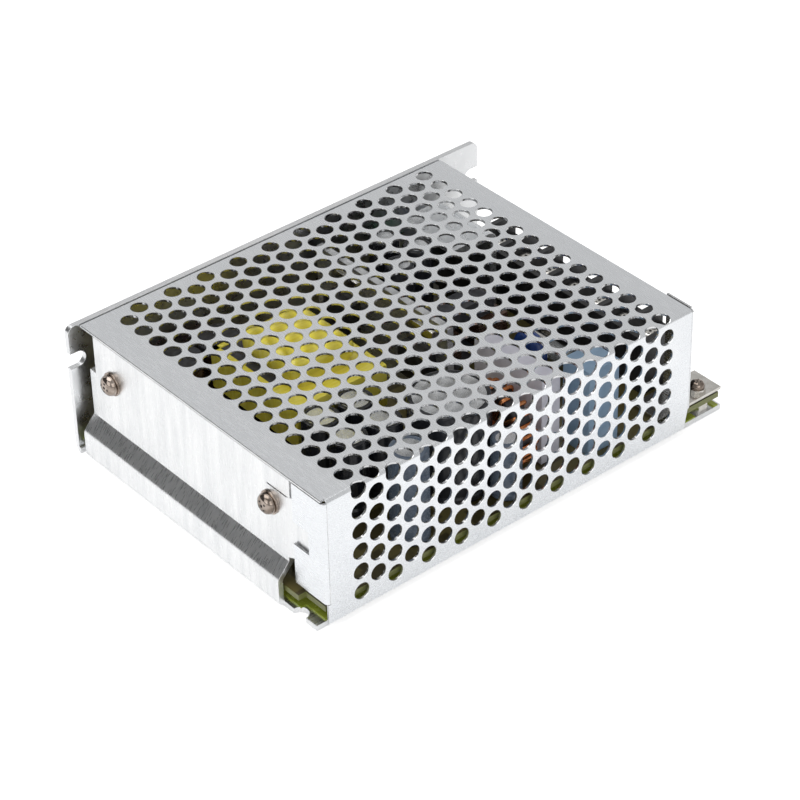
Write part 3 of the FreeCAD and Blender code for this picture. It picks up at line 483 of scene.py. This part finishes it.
def wire_turn(bm, middle, outward, across, half_width, half_depth, bend, wire):
    """One turn of round wire about middle, square to the ring, swept length by length."""
    normal = across.cross(outward).normalized()
    sides = [(across, outward), (-outward, across), (-across, -outward), (outward, -across)]
    reaches = [(half_width, half_depth), (half_depth, half_width)] * 2
    start = middle + outward * half_depth - across * (half_width - bend)
    tilt = Vector((0.0, 0.0, 1.0)).rotation_difference(across).to_matrix().to_4x4()
    place = Matrix.Translation(start) @ tilt
    ring = bmesh.ops.create_circle(bm, segments=8, radius=wire, matrix=place)["verts"]
    edges = list({edge for vert in ring for edge in vert.link_edges})
    for (along, out), (reach, depth) in zip(sides, reaches):
        grown = bmesh.ops.extrude_edge_only(bm, edges=edges)["geom"]
        moved = [item for item in grown if isinstance(item, bmesh.types.BMVert)]
        edges = [item for item in grown if isinstance(item, bmesh.types.BMEdge)]
        bmesh.ops.translate(bm, vec=along * 2.0 * (reach - bend), verts=moved)
        pivot = middle + along * (reach - bend) + out * (depth - bend)
        spun = bmesh.ops.spin(
            bm,
            geom=moved + edges,
            cent=pivot,
            axis=normal,
            angle=-quarter_turn,
            steps=3,
        )
        edges = [item for item in spun["geom_last"] if isinstance(item, bmesh.types.BMEdge)]


copper_skin = coated(
    "enamelled copper",
    (0.50, 0.16, 0.05),
    (0.72, 0.30, 0.12),
    0.22,
    scale=300.0,
    metal=0.85,
    bump=0.1,
)
powder_skin = coated("powder core", (0.03, 0.03, 0.032), (0.06, 0.06, 0.065), 0.4, scale=400.0, bump=0.3)
low, high = corners("choke_core")
ring_middle = (low + high) / 2
ring_inner = 4.0
ring_outer = 10.5
ring_width = 4.6
ring_edge = 0.3
core_profile = [
    (ring_inner + ring_edge, 0.0),
    (ring_outer - ring_edge, 0.0),
    (ring_outer, ring_edge),
    (ring_outer, ring_width - ring_edge),
    (ring_outer - ring_edge, ring_width),
    (ring_inner + ring_edge, ring_width),
    (ring_inner, ring_width - ring_edge),
    (ring_inner, ring_edge),
    (ring_inner + ring_edge, 0.0),
]
core_bm = bmesh.new()
turned(core_bm, core_profile, Vector((low.x, ring_middle.y, ring_middle.z)), (1.0, 0.0, 0.0), 48)
finish_piece("ring_core", core_bm, [powder_skin], ["choke_core"])
wire_radius = 0.55
wire_bend = 0.9
wire_lift = 0.6
half_width = ring_width / 2 + wire_lift
half_depth = (ring_outer - ring_inner) / 2 + wire_lift
ring_turns = 22
first_turn = 32.0
wound_span = 296.0
ring_bm = bmesh.new()
for turn in range(ring_turns):
    angle = math.radians(first_turn + turn * wound_span / (ring_turns - 1))
    outward = Vector((0.0, math.sin(angle), -math.cos(angle)))
    middle = ring_middle + outward * (ring_inner + ring_outer) / 2
    across = Vector((1.0, 0.0, 0.0))
    wire_turn(ring_bm, middle, outward, across, half_width, half_depth, wire_bend, wire_radius)
bmesh.ops.remove_doubles(ring_bm, verts=ring_bm.verts, dist=0.0005)
finish_piece("choke_turns", ring_bm, [copper_skin], ["choke_winding"], smooth=60.0)


# Box capacitors and discs: film capacitors potted in moulded boxes, and a ceramic capacitor and a
# thermistor dipped in lacquer, all standing on the board by their leads.
pale_skin = coated("pale box", (0.66, 0.65, 0.73), (0.76, 0.75, 0.82), 0.35, scale=300.0, edge=0.0004)
skin("film_capacitor", pale_skin)
light_blue_skin = coated(
    "light blue box",
    (0.24, 0.36, 0.50),
    (0.30, 0.43, 0.57),
    0.35,
    scale=300.0,
    edge=0.0004,
)
skin("interference_capacitor", light_blue_skin)


def dipped_disc(bm, centre, axis, radius, thickness):
    """Rounded disc standing on edge, with its two leads."""
    half = thickness / 2
    profile = [(0.0, -half)]
    for step in range(9):
        angle = math.radians(-90.0 + step * 22.5)
        profile.append((radius - half + half * math.cos(angle), half * math.sin(angle)))
    profile.append((0.0, half))
    turned(bm, profile, centre, axis, 32)
    spread = Vector((axis[1], axis[0], 0.0)) * (radius / 2)
    lead = Vector((0.4, 0.4, 0.0))
    for foot in (centre - spread, centre + spread):
        block(bm, Vector((foot.x, foot.y, board_top)) - lead, foot + lead, 0.2, 1)


blue_skin = coated("blue dip", (0.010, 0.035, 0.16), (0.025, 0.07, 0.26), 0.18, scale=200.0)
low, high = corners("safety_capacitors")
disc_radius = 5.5
disc_thickness = 4.4
disc_bm = bmesh.new()
disc_middle = Vector(((low.x + high.x) / 2, (low.y + high.y) / 2, high.z - disc_radius))
dipped_disc(disc_bm, disc_middle, (1.0, 0.0, 0.0), disc_radius, disc_thickness)
finish_piece("disc_capacitor", disc_bm, [blue_skin], ["safety_capacitors"])
green_skin = coated("green dip", (0.02, 0.10, 0.055), (0.04, 0.15, 0.085), 0.25, scale=200.0)
low, high = corners("inrush_thermistor")
thermistor_radius = 4.5
thermistor_thickness = 4.0
thermistor_bm = bmesh.new()
thermistor_middle = Vector(((low.x + high.x) / 2, (low.y + high.y) / 2, high.z - thermistor_radius))
dipped_disc(thermistor_bm, thermistor_middle, (0.0, 1.0, 0.0), thermistor_radius, thermistor_thickness)
finish_piece("thermistor", thermistor_bm, [green_skin], ["inrush_thermistor"])


# Heatsinks: a plain plate of bright aluminium along the board, and a folded one by the terminals
# with the bridge rectifier on it. The power devices on the long plate and on the left wall are
# black moulded packages with a plated tab, those on the wall over silicone pads.
sink_skin = coated(
    "heatsink plate",
    (0.74, 0.75, 0.76),
    (0.86, 0.87, 0.88),
    0.30,
    scale=80.0,
    stretch=(1.0, 1.0, 12.0),
    metal=0.9,
    edge=0.0002,
)
skin("heatsink", sink_skin)
skin("input_heatsink", sink_skin)
skin("bridge_rectifier", moulded_skin)
device_half = 5.1
device_thickness = 4.4
device_height = 9.2
tab_thickness = 1.3
tab_height = 6.4
lead_pitch = 2.54
lead_half = Vector((0.25, 0.45, 0.0))
for node, facing in (("heatsink_devices", -1.0), ("wall_devices", 1.0)):
    low, high = corners(node)
    root = high.x if facing < 0 else low.x
    shoulder = high.z - tab_height
    reach = root + facing * device_thickness
    tab_reach = root + facing * tab_thickness
    body_bm = bmesh.new()
    metal_bm = bmesh.new()
    for y in (low.y + device_half, high.y - device_half):
        block(
            body_bm,
            Vector((min(root, reach), y - device_half, shoulder - device_height)),
            Vector((max(root, reach), y + device_half, shoulder)),
            0.35,
        )
        block(
            metal_bm,
            Vector((min(root, tab_reach), y - device_half, shoulder + 0.01)),
            Vector((max(root, tab_reach), y + device_half, high.z)),
            0.15,
        )
        for pitch in (-lead_pitch, 0.0, lead_pitch):
            foot = Vector((root + facing * device_thickness / 2, y + pitch, board_top))
            lead_end = Vector((foot.x, foot.y, shoulder - device_height + 0.1))
            block(metal_bm, foot - lead_half, lead_end + lead_half)
    name = node.replace("devices", "packages")
    finish_piece(name, body_bm, [moulded_skin], [node])
    finish_piece(name + "_metal", metal_bm, [plated_skin], [])
pad_skin = coated("silicone pad", (0.42, 0.43, 0.43), (0.50, 0.51, 0.51), 0.6, scale=400.0)
skin("thermal_pads", pad_skin)
skin("device_nuts", plated_skin)


# Filters and fuse: a line filter with two coils on a closed ferrite core, the two drum chokes of
# the output filter behind the transformer, and a glass fuse in spring clips.
skin("line_filter_core", ferrite_skin)
low, high = corners("line_filter_coils")
coil_skin = coated(
    "dark enamelled wire",
    (0.045, 0.022, 0.014),
    (0.09, 0.045, 0.028),
    0.25,
    scale=300.0,
    metal=0.3,
    bump=0.1,
)
coil_half = 5.1
wire_half = 0.42
filter_turns = 9
turn_rise = (high.z - low.z - 2 * wire_half) / (filter_turns - 1)
coil_bm = bmesh.new()
for x in (low.x + coil_half, high.x - coil_half):
    for turn in range(filter_turns):
        z = low.z + wire_half + turn * turn_rise
        block(
            coil_bm,
            Vector((x - coil_half, low.y, z - wire_half)),
            Vector((x + coil_half, high.y, z + wire_half)),
            0.38,
        )
finish_piece("filter_coils", coil_bm, [coil_skin], ["line_filter_coils"])
low, high = corners("drum_chokes")
drum_radius = 6.5
drum_height = 16.0
drum_waist = 4.7
drum_flange = 1.4
drum_edge = 0.2
drum_profile = [
    (0.0, 0.0),
    (drum_radius - drum_edge, 0.0),
    (drum_radius, drum_edge),
    (drum_radius, drum_flange),
    (drum_waist, drum_flange),
    (drum_waist, drum_height - drum_flange),
    (drum_radius, drum_height - drum_flange),
    (drum_radius, drum_height - drum_edge),
    (drum_radius - drum_edge, drum_height),
    (0.0, drum_height),
]
drum_core_bm = bmesh.new()
for x in (low.x + drum_radius, high.x - drum_radius):
    turned(drum_core_bm, drum_profile, Vector((x, (low.y + high.y) / 2, low.z)), upward, 36)
finish_piece("drum_cores", drum_core_bm, [ferrite_skin], ["drum_chokes"])
low, high = corners("drum_windings")
drum_turns = 14
drum_coil_inner = 4.8
drum_coil_radius = 6.45
groove_radius = 5.9
wound_height = high.z - low.z
turn_rise = wound_height / drum_turns
coil_profile = [(drum_coil_inner, 0.0)]
for turn in range(drum_turns):
    for radius, share in ((groove_radius, 0.0), (6.3, 0.25), (6.42, 0.5), (6.3, 0.75)):
        coil_profile.append((radius, (turn + share) * turn_rise))
coil_profile += [
    (groove_radius, wound_height),
    (drum_coil_inner, wound_height),
    (drum_coil_inner, 0.0),
]
drum_bm = bmesh.new()
for x in (low.x + drum_coil_radius, high.x - drum_coil_radius):
    turned(drum_bm, coil_profile, Vector((x, (low.y + high.y) / 2, low.z)), upward, 32)
finish_piece("drum_coils", drum_bm, [coil_skin], ["drum_windings"])
glass_skin = coated("fuse glass", (0.55, 0.58, 0.58), (0.70, 0.73, 0.73), 0.08, scale=300.0)
glass_skin.node_tree.nodes["Principled BSDF"].inputs["Transmission Weight"].default_value = 0.7
low, high = corners("fuse")
fuse_length = 20.0
glass_radius = 2.4
cap_radius = 2.6
cap_length = 5.0
cap_edge = 0.3
along_fuse = (0.0, 1.0, 0.0)
fuse_start = Vector(((low.x + high.x) / 2, low.y, (low.z + high.z) / 2))
glass_ends = (cap_length - 0.1, fuse_length - cap_length + 0.1)
glass_profile = [
    (0.0, glass_ends[0]),
    (glass_radius, glass_ends[0]),
    (glass_radius, glass_ends[1]),
    (0.0, glass_ends[1]),
]
fuse_bm = bmesh.new()
turned(fuse_bm, glass_profile, fuse_start, along_fuse, 28)
finish_piece("fuse_tube", fuse_bm, [glass_skin], ["fuse"])
cap_bm = bmesh.new()
for start in (0.0, fuse_length - cap_length):
    cap_profile = [
        (0.0, start),
        (cap_radius - cap_edge, start),
        (cap_radius, start + cap_edge),
        (cap_radius, start + cap_length - cap_edge),
        (cap_radius - 0.1, start + cap_length),
        (0.0, start + cap_length),
    ]
    turned(cap_bm, cap_profile, fuse_start, along_fuse, 28)
finish_piece("fuse_caps", cap_bm, [plated_skin], [])
skin("fuse_clips", plated_skin)


# Small parts: two moulded couplers and two dipped resistors, all lying on the board.
# A resistor's ends are thicker than its middle, where the dip covers the end caps.
skin("optocouplers", moulded_skin)
resistor_skin = coated("resistor body", (0.42, 0.34, 0.22), (0.55, 0.46, 0.31), 0.35, scale=300.0)
low, high = corners("resistors")
resistor_length = 9.0
resistor_radius = 1.8
resistor_profile = [
    (0.0, 0.0),
    (1.5, 0.1),
    (resistor_radius, 0.9),
    (1.75, 2.0),
    (1.5, 2.7),
    (1.5, resistor_length - 2.7),
    (1.75, resistor_length - 2.0),
    (resistor_radius, resistor_length - 0.9),
    (1.5, resistor_length - 0.1),
    (0.0, resistor_length),
]
resistor_bm = bmesh.new()
for x in (low.x, high.x - resistor_length):
    resistor_start = Vector((x, (low.y + high.y) / 2, low.z + resistor_radius))
    turned(resistor_bm, resistor_profile, resistor_start, (1.0, 0.0, 0.0), 24)
finish_piece("dipped_resistors", resistor_bm, [resistor_skin], ["resistors"])


# Terminal block: a black moulding with seven open ways between barriers. In each way a plated
# clamp plate lies on the base under a pan head screw.
skin("terminal_block", moulded_skin)
skin("terminal_clamps", plated_skin)
low, high = corners("terminal_screws")
clamp_top = corners("terminal_clamps")[1].z
terminal_bm = bmesh.new()
terminal_recess_shade_bm = bmesh.new()
way_count = 7
way_pitch = 9.5
terminal_screw_length = 4.0
for k in range(way_count):
    seat = Vector(((low.x + high.x) / 2, low.y + pan_radius + way_pitch * k, clamp_top))
    screw(terminal_bm, seat, upward, pan_head, pan_rise, pan_shank, terminal_screw_length)
    recess(terminal_recess_shade_bm, seat, upward, pan_head, pan_rise, 25.0 + 37.0 * k)
finish_piece("terminal_screw_heads", terminal_bm, [plated_skin], ["terminal_screws"])
finish_piece("terminal_screw_recess_shade", terminal_recess_shade_bm, [recess_shade_skin], [])


# Trimmer and lamp beside the terminals: a small blue case whose white rotor turns under a
# screwdriver, and a green lamp with a domed lens.
trimmer_skin = coated("blue case", (0.02, 0.08, 0.28), (0.035, 0.12, 0.38), 0.35, scale=500.0)
skin("trimmer_body", trimmer_skin)
rotor_skin = coated("white rotor", (0.70, 0.69, 0.65), (0.82, 0.81, 0.77), 0.45, scale=500.0)
skin("trimmer_rotor", rotor_skin)
lamp_skin = coated("green lens", (0.03, 0.30, 0.06), (0.06, 0.42, 0.10), 0.12, scale=300.0)
lamp_skin.node_tree.nodes["Principled BSDF"].inputs["Transmission Weight"].default_value = 0.4
low, high = corners("power_lamp")
lamp_bm = bmesh.new()
lamp_radius = 1.5
lamp_profile = [
    (0.0, 0.0),
    (lamp_radius, 0.0),
    (lamp_radius, 3.3),
    (1.42, 3.8),
    (1.18, 4.3),
    (0.80, 4.65),
    (0.40, 4.78),
    (0.0, 4.8),
]
lamp_middle = Vector(((low.x + high.x) / 2, (low.y + high.y) / 2, low.z))
turned(lamp_bm, lamp_profile, lamp_middle, upward, 24)
finish_piece("lamp_lens", lamp_bm, [lamp_skin], ["power_lamp"])


# Earthing plate: a nickel plated steel strip over the board's front corner. A small pan head
# screw holds it, with a spring washer over the plate and a spacer under it.
bronzed_skin = coated(
    "darkened plating",
    (0.20, 0.16, 0.13),
    (0.46, 0.39, 0.34),
    0.14,
    scale=400.0,
    metal=1.0,
    edge=0.0001,
)
skin("earthing_plate", plated_skin)
skin("earthing_washers", plated_skin)
low, high = corners("earthing_screw")
earth_bm = bmesh.new()
earth_recess_shade_bm = bmesh.new()
earth_head = 3.9
earth_rise = 1.8
earth_shank = 2.5
earth_screw_length = 6.4
seat = Vector(((low.x + high.x) / 2, (low.y + high.y) / 2, high.z - earth_rise))
screw(earth_bm, seat, upward, earth_head, earth_rise, earth_shank, earth_screw_length)
recess(earth_recess_shade_bm, seat, upward, earth_head, earth_rise, 30.0)
finish_piece("earthing_screw_head", earth_bm, [bronzed_skin], ["earthing_screw"])
finish_piece("earthing_screw_recess_shade", earth_recess_shade_bm, [recess_shade_skin], [])


# Perforated cover: one blank of 0.7 mm aluminium sheet, punched with round holes in staggered
# columns, then folded into the top and the front side with a flange at each end of the side.


def ring_edges(bm, points):
    """Closed loop of edges in the flat blank."""
    verts = [bm.verts.new((x, u, 0.0)) for x, u in points]
    return [bm.edges.new((a, b)) for a, b in zip(verts, verts[1:] + verts[:1])]


def punched_blank(outline, holes, bands, fold):
    """Flat blank with round holes, given its thickness and then folded point by point."""
    bm = bmesh.new()
    edges = ring_edges(bm, outline)
    for x, u, radius in holes:
        angles = [math.tau * (k + 0.5) / hole_sides for k in range(hole_sides)]
        edges += ring_edges(bm, [(x + radius * math.cos(a), u + radius * math.sin(a)) for a in angles])
    bmesh.ops.triangle_fill(bm, use_beauty=True, use_dissolve=False, edges=edges)
    for plane, normal in bands:
        geom = bm.verts[:] + bm.edges[:] + bm.faces[:]
        bmesh.ops.bisect_plane(bm, geom=geom, dist=0.0001, plane_co=plane, plane_no=normal)
    raised = bmesh.ops.extrude_face_region(bm, geom=bm.faces[:], use_keep_orig=True)
    inner = [item for item in raised["geom"] if isinstance(item, bmesh.types.BMVert)]
    bmesh.ops.translate(bm, vec=(0.0, 0.0, sheet), verts=inner)
    rims = [e for e in bm.edges if len(e.link_faces) == 2 and e.calc_face_angle(0.0) > 1.2]
    rims = [e for e in rims if abs(e.verts[0].co.z - e.verts[1].co.z) < 0.01]
    bmesh.ops.bevel(
        bm,
        geom=rims,
        offset=0.1,
        offset_type="OFFSET",
        segments=1,
        profile=0.5,
        affect="EDGES",
        material=-1,
    )
    bm.normal_update()
    for face in bm.faces:
        face.material_index = 0 if abs(face.normal.z) > 0.95 else 1
    for vert in bm.verts:
        vert.co = fold(vert.co.copy())
    return bm


sheet = 0.7
bend = 1.1
arc = 1.18
bend_steps = 6
hole_sides = 22
hole_radius = 2.25
hole_pitch = 6.0
column_count = 20
top_rows = 16
side_rows = 5
column_from_right = 8.54
top_row_from_front = 2.53
side_row_from_top = 4.49
cover_low, cover_high = corners("mesh_cover")
left = cover_low.x
edge = cover_high.x
right = edge - bend
front = cover_low.y
top = cover_high.z


def fold_over_top(flat):
    """Flat blank to folded panel: top for u above zero, then the bend, then the side."""
    x, u, t = flat
    if u >= 0.0:
        return Vector((x, front + bend + u, top - t))
    if u > -arc:
        angle = -u / arc * quarter_turn
        reach = bend - t
        return Vector((x, front + bend - reach * math.sin(angle), top - bend + reach * math.cos(angle)))
    return Vector((x, front + t, top - bend + arc + u))


hole_list = []
column_step = hole_pitch * math.sin(math.radians(60.0))
for column in range(column_count):
    odd = column % 2
    x = right - column_from_right - column_step * column
    top_row = top_row_from_front + odd * hole_pitch / 2 - bend
    side_row = bend - arc - side_row_from_top + odd * hole_pitch / 2
    hole_list += [(x, top_row + hole_pitch * k, hole_radius) for k in range(top_rows - odd)]
    hole_list += [(x, side_row - hole_pitch * k, hole_radius) for k in range(side_rows + odd)]
foot_height = 7.2
hem_height = 1.5
hem_from_left = 0.4
hem_from_right = 2.2
foot = bend - arc - (top - foot_height)
hem = bend - arc - (top - hem_height)
cover_outline = [
    (left, cover_high.y - front - bend),
    (right, cover_high.y - front - bend),
    (right, foot),
    (edge - hem_from_right, hem),
    (left + hem_from_left, hem),
    (left + hem_from_left, foot),
    (left + bend, foot),
    (left + bend, 0.0),
    (left, 0.0),
]
bend_lines = [((0.0, -arc * k / bend_steps, 0.0), (0.0, 1.0, 0.0)) for k in range(bend_steps + 1)]
cover_bm = punched_blank(cover_outline, hole_list, bend_lines, fold_over_top)


def fold_left(flat):
    """Flange at the left end, turned back along the wall."""
    w, z, t = flat
    if w < arc:
        angle = w / arc * quarter_turn
        reach = bend - t
        return Vector((left + bend - reach * math.sin(angle), front + bend - reach * math.cos(angle), z))
    return Vector((left + t, front + bend + w - arc, z))


def fold_right(flat):
    """Flange at the right end, a little beyond the top panel."""
    w, z, t = flat
    if w < arc:
        angle = w / arc * quarter_turn
        reach = bend - t
        return Vector((edge - bend + reach * math.sin(angle), front + bend - reach * math.cos(angle), z))
    return Vector((edge - t, front + bend + w - arc, z))


flange_lines = [((arc * k / bend_steps, 0.0, 0.0), (1.0, 0.0, 0.0)) for k in range(1, bend_steps + 1)]
flange_top = 36.9
left_flange = 11.9
notch_depth = 5.7
notch_foot = 19.0
notch_top = 25.5
end = arc + left_flange - bend
left_outline = [
    (0.0, foot_height),
    (end, foot_height),
    (end, notch_foot),
    (end - notch_depth, notch_foot),
    (end - notch_depth, notch_top),
    (end, notch_top),
    (end, flange_top),
    (0.0, flange_top),
]
right_flange = 9.6
right_flange_top = 37.6
end = arc + right_flange - bend
right_outline = [
    (0.0, foot_height),
    (end, foot_height),
    (end, right_flange_top),
    (arc, right_flange_top),
    (arc, flange_top),
    (0.0, flange_top),
]
for outline, fold in ((left_outline, fold_left), (right_outline, fold_right)):
    flange_bm = punched_blank(outline, [], flange_lines, fold)
    flange_mesh = bpy.data.meshes.new("flange")
    flange_bm.to_mesh(flange_mesh)
    flange_bm.free()
    cover_bm.from_mesh(flange_mesh)
    bpy.data.meshes.remove(flange_mesh)
cover_skin = coated(
    "cover sheet",
    (0.865, 0.885, 0.91),
    (0.895, 0.912, 0.935),
    0.26,
    scale=30.0,
    stretch=(6.0, 1.0, 6.0),
    bump=0.02,
    edge=0.0,
    metal=1.0,
)
# Sheet edges, bevels and hole walls: bare punched metal. Their tone is set below the sheet's own as painted
# shade on the edges.
cut_edge_shade_skin = coated(
    "punched edge with painted shade",
    (0.66, 0.67, 0.68),
    (0.80, 0.80, 0.81),
    0.22,
    scale=400.0,
    bump=0.1,
    edge=0.0,
    metal=1.0,
)
finish_piece(
    "perforated_cover",
    cover_bm,
    [cover_skin, cut_edge_shade_skin],
    ["mesh_cover"],
    smooth=30.0,
)


# Wall screws: two pan head screws with a cross recess, each on a plain washer, which clamp the
# power devices to the inside of the left wall.
low, high = corners("wall_screws")
wall_bm = bmesh.new()
wall_recess_shade_bm = bmesh.new()
leftward = (-1.0, 0.0, 0.0)
for y, spin in ((low.y + pan_radius, 35.0), (high.y - pan_radius, 80.0)):
    seat = Vector((low.x + pan_rise, y, (low.z + high.z) / 2))
    screw(wall_bm, seat, leftward, pan_head, pan_rise, pan_shank, high.x - low.x - pan_rise)
    recess(wall_recess_shade_bm, seat, leftward, pan_head, pan_rise, spin)
finish_piece("wall_screw_heads", wall_bm, [bronzed_skin], ["wall_screws"])
finish_piece("wall_screw_recess_shade", wall_recess_shade_bm, [recess_shade_skin], [])
low, high = corners("wall_washers")
washer_bm = bmesh.new()
washer_radius = 3.2
washer_hole = 1.7
washer_sheet = 0.5
washer_edge = 0.1
washer_profile = [
    (washer_hole, 0.0),
    (washer_radius - washer_edge, 0.0),
    (washer_radius, washer_edge),
    (washer_radius, washer_sheet - washer_edge),
    (washer_radius - washer_edge, washer_sheet),
    (washer_hole, washer_sheet),
    (washer_hole, 0.0),
]
for y in (low.y + washer_radius, high.y - washer_radius):
    turned(washer_bm, washer_profile, Vector((high.x, y, (low.z + high.z) / 2)), leftward, 36)
finish_piece("plain_washers", washer_bm, [bronzed_skin], ["wall_washers"])


# Studio: a pale floor and a pale surround with one darker side, which the metal that faces it
# shows. Broad soft lights stand round the object, and the camera is at the photo's angle.
floor_mesh = bpy.data.meshes.new("floor")
floor_bm = bmesh.new()
bmesh.ops.create_grid(floor_bm, x_segments=1, y_segments=1, size=6.0)
floor_bm.to_mesh(floor_mesh)
floor_bm.free()
floor = bpy.data.objects.new("floor", floor_mesh)
bpy.context.scene.collection.objects.link(floor)
floor_mesh.transform(Matrix.Translation((0.0, 0.0, -0.0002)))
floor_skin, floor_tree, floor_shader = node_tree("studio floor")
floor_noise = object_noise(floor_tree, 8.0, (1.0, 1.0, 1.0), 2.0)
vary_colour(floor_tree, floor_shader, floor_noise, (0.90, 0.90, 0.90), (0.93, 0.93, 0.93))
floor_shader.inputs["Roughness"].default_value = 0.8
floor_rays = floor_tree.nodes.new("ShaderNodeLightPath")
floor_seen = floor_tree.nodes.new("ShaderNodeMath")
floor_seen.operation = "MULTIPLY_ADD"
floor_seen.inputs[1].default_value = 0.25
floor_tree.links.new(floor_rays.outputs["Is Glossy Ray"], floor_seen.inputs[0])
floor_tree.links.new(floor_rays.outputs["Is Camera Ray"], floor_seen.inputs[2])
floor_passed = floor_tree.nodes.new("ShaderNodeMath")
floor_passed.operation = "MAXIMUM"
floor_tree.links.new(floor_seen.outputs["Value"], floor_passed.inputs[0])
floor_tree.links.new(floor_rays.outputs["Is Transmission Ray"], floor_passed.inputs[1])
floor_glow = floor_tree.nodes.new("ShaderNodeMath")
floor_glow.operation = "MULTIPLY"
floor_glow.inputs[1].default_value = 0.50
floor_tree.links.new(floor_passed.outputs["Value"], floor_glow.inputs[0])
floor_shader.inputs["Emission Color"].default_value = (1.0, 1.0, 1.0, 1.0)
floor_tree.links.new(floor_glow.outputs["Value"], floor_shader.inputs["Emission Strength"])
floor_mesh.materials.append(floor_skin)

world = bpy.data.worlds.new("studio")
bpy.context.scene.world = world
world.use_nodes = True
world_tree = world.node_tree
world_shader = world_tree.nodes["Background"]
world_shader.inputs["Color"].default_value = (1.0, 1.0, 1.0, 1.0)
world_place = world_tree.nodes.new("ShaderNodeTexCoord")
world_side = world_tree.nodes.new("ShaderNodeVectorMath")
world_side.operation = "DOT_PRODUCT"
world_side.inputs[1].default_value = (-0.65, 0.63, 0.43)
world_tree.links.new(world_place.outputs["Generated"], world_side.inputs[0])
world_span = world_tree.nodes.new("ShaderNodeMapRange")
world_span.inputs["From Min"].default_value = 0.60
world_span.inputs["From Max"].default_value = 0.86
world_span.inputs["To Min"].default_value = 0.55
world_span.inputs["To Max"].default_value = 0.09
world_tree.links.new(world_side.outputs["Value"], world_span.inputs["Value"])
world_rays = world_tree.nodes.new("ShaderNodeLightPath")
world_seen = world_tree.nodes.new("ShaderNodeMix")
world_tree.links.new(world_rays.outputs["Is Camera Ray"], world_seen.inputs["Factor"])
world_tree.links.new(world_span.outputs["Result"], world_seen.inputs["A"])
world_seen.inputs["B"].default_value = 0.55
world_tree.links.new(world_seen.outputs["Result"], world_shader.inputs["Strength"])
for name, place, size, power in (
    ("top softbox", (-0.2, 0.3, 1.1), 1.0, 7.0),
    ("front softbox", (-0.3, -1.2, 0.6), 0.9, 3.6),
    ("left softbox", (-1.2, -0.1, 0.6), 0.9, 3.0),
):
    lamp = bpy.data.lights.new(name, "AREA")
    lamp.size = size
    lamp.energy = power
    lamp_object = bpy.data.objects.new(name, lamp)
    lamp_object.location = place
    lamp_object.rotation_euler = (-Vector(place)).to_track_quat("-Z", "Y").to_euler()
    bpy.context.scene.collection.objects.link(lamp_object)

view_right = Vector((0.764634, -0.644189, -0.018852))
view_up = Vector((0.389818, 0.439013, 0.809512))
view_ahead = Vector((0.513202, 0.626329, -0.586801))
camera_data = bpy.data.cameras.new("camera")
camera_data.sensor_width = 36.0
camera_data.lens = 132.63
camera = bpy.data.objects.new("camera", camera_data)
pose = Matrix((view_right, view_up, -view_ahead)).transposed().to_4x4()
camera.matrix_world = Matrix.Translation((-0.38508, -0.46945, 0.44964)) @ pose
bpy.context.scene.collection.objects.link(camera)
bpy.context.scene.camera = camera
bpy.context.scene.view_settings.view_transform = "Standard"
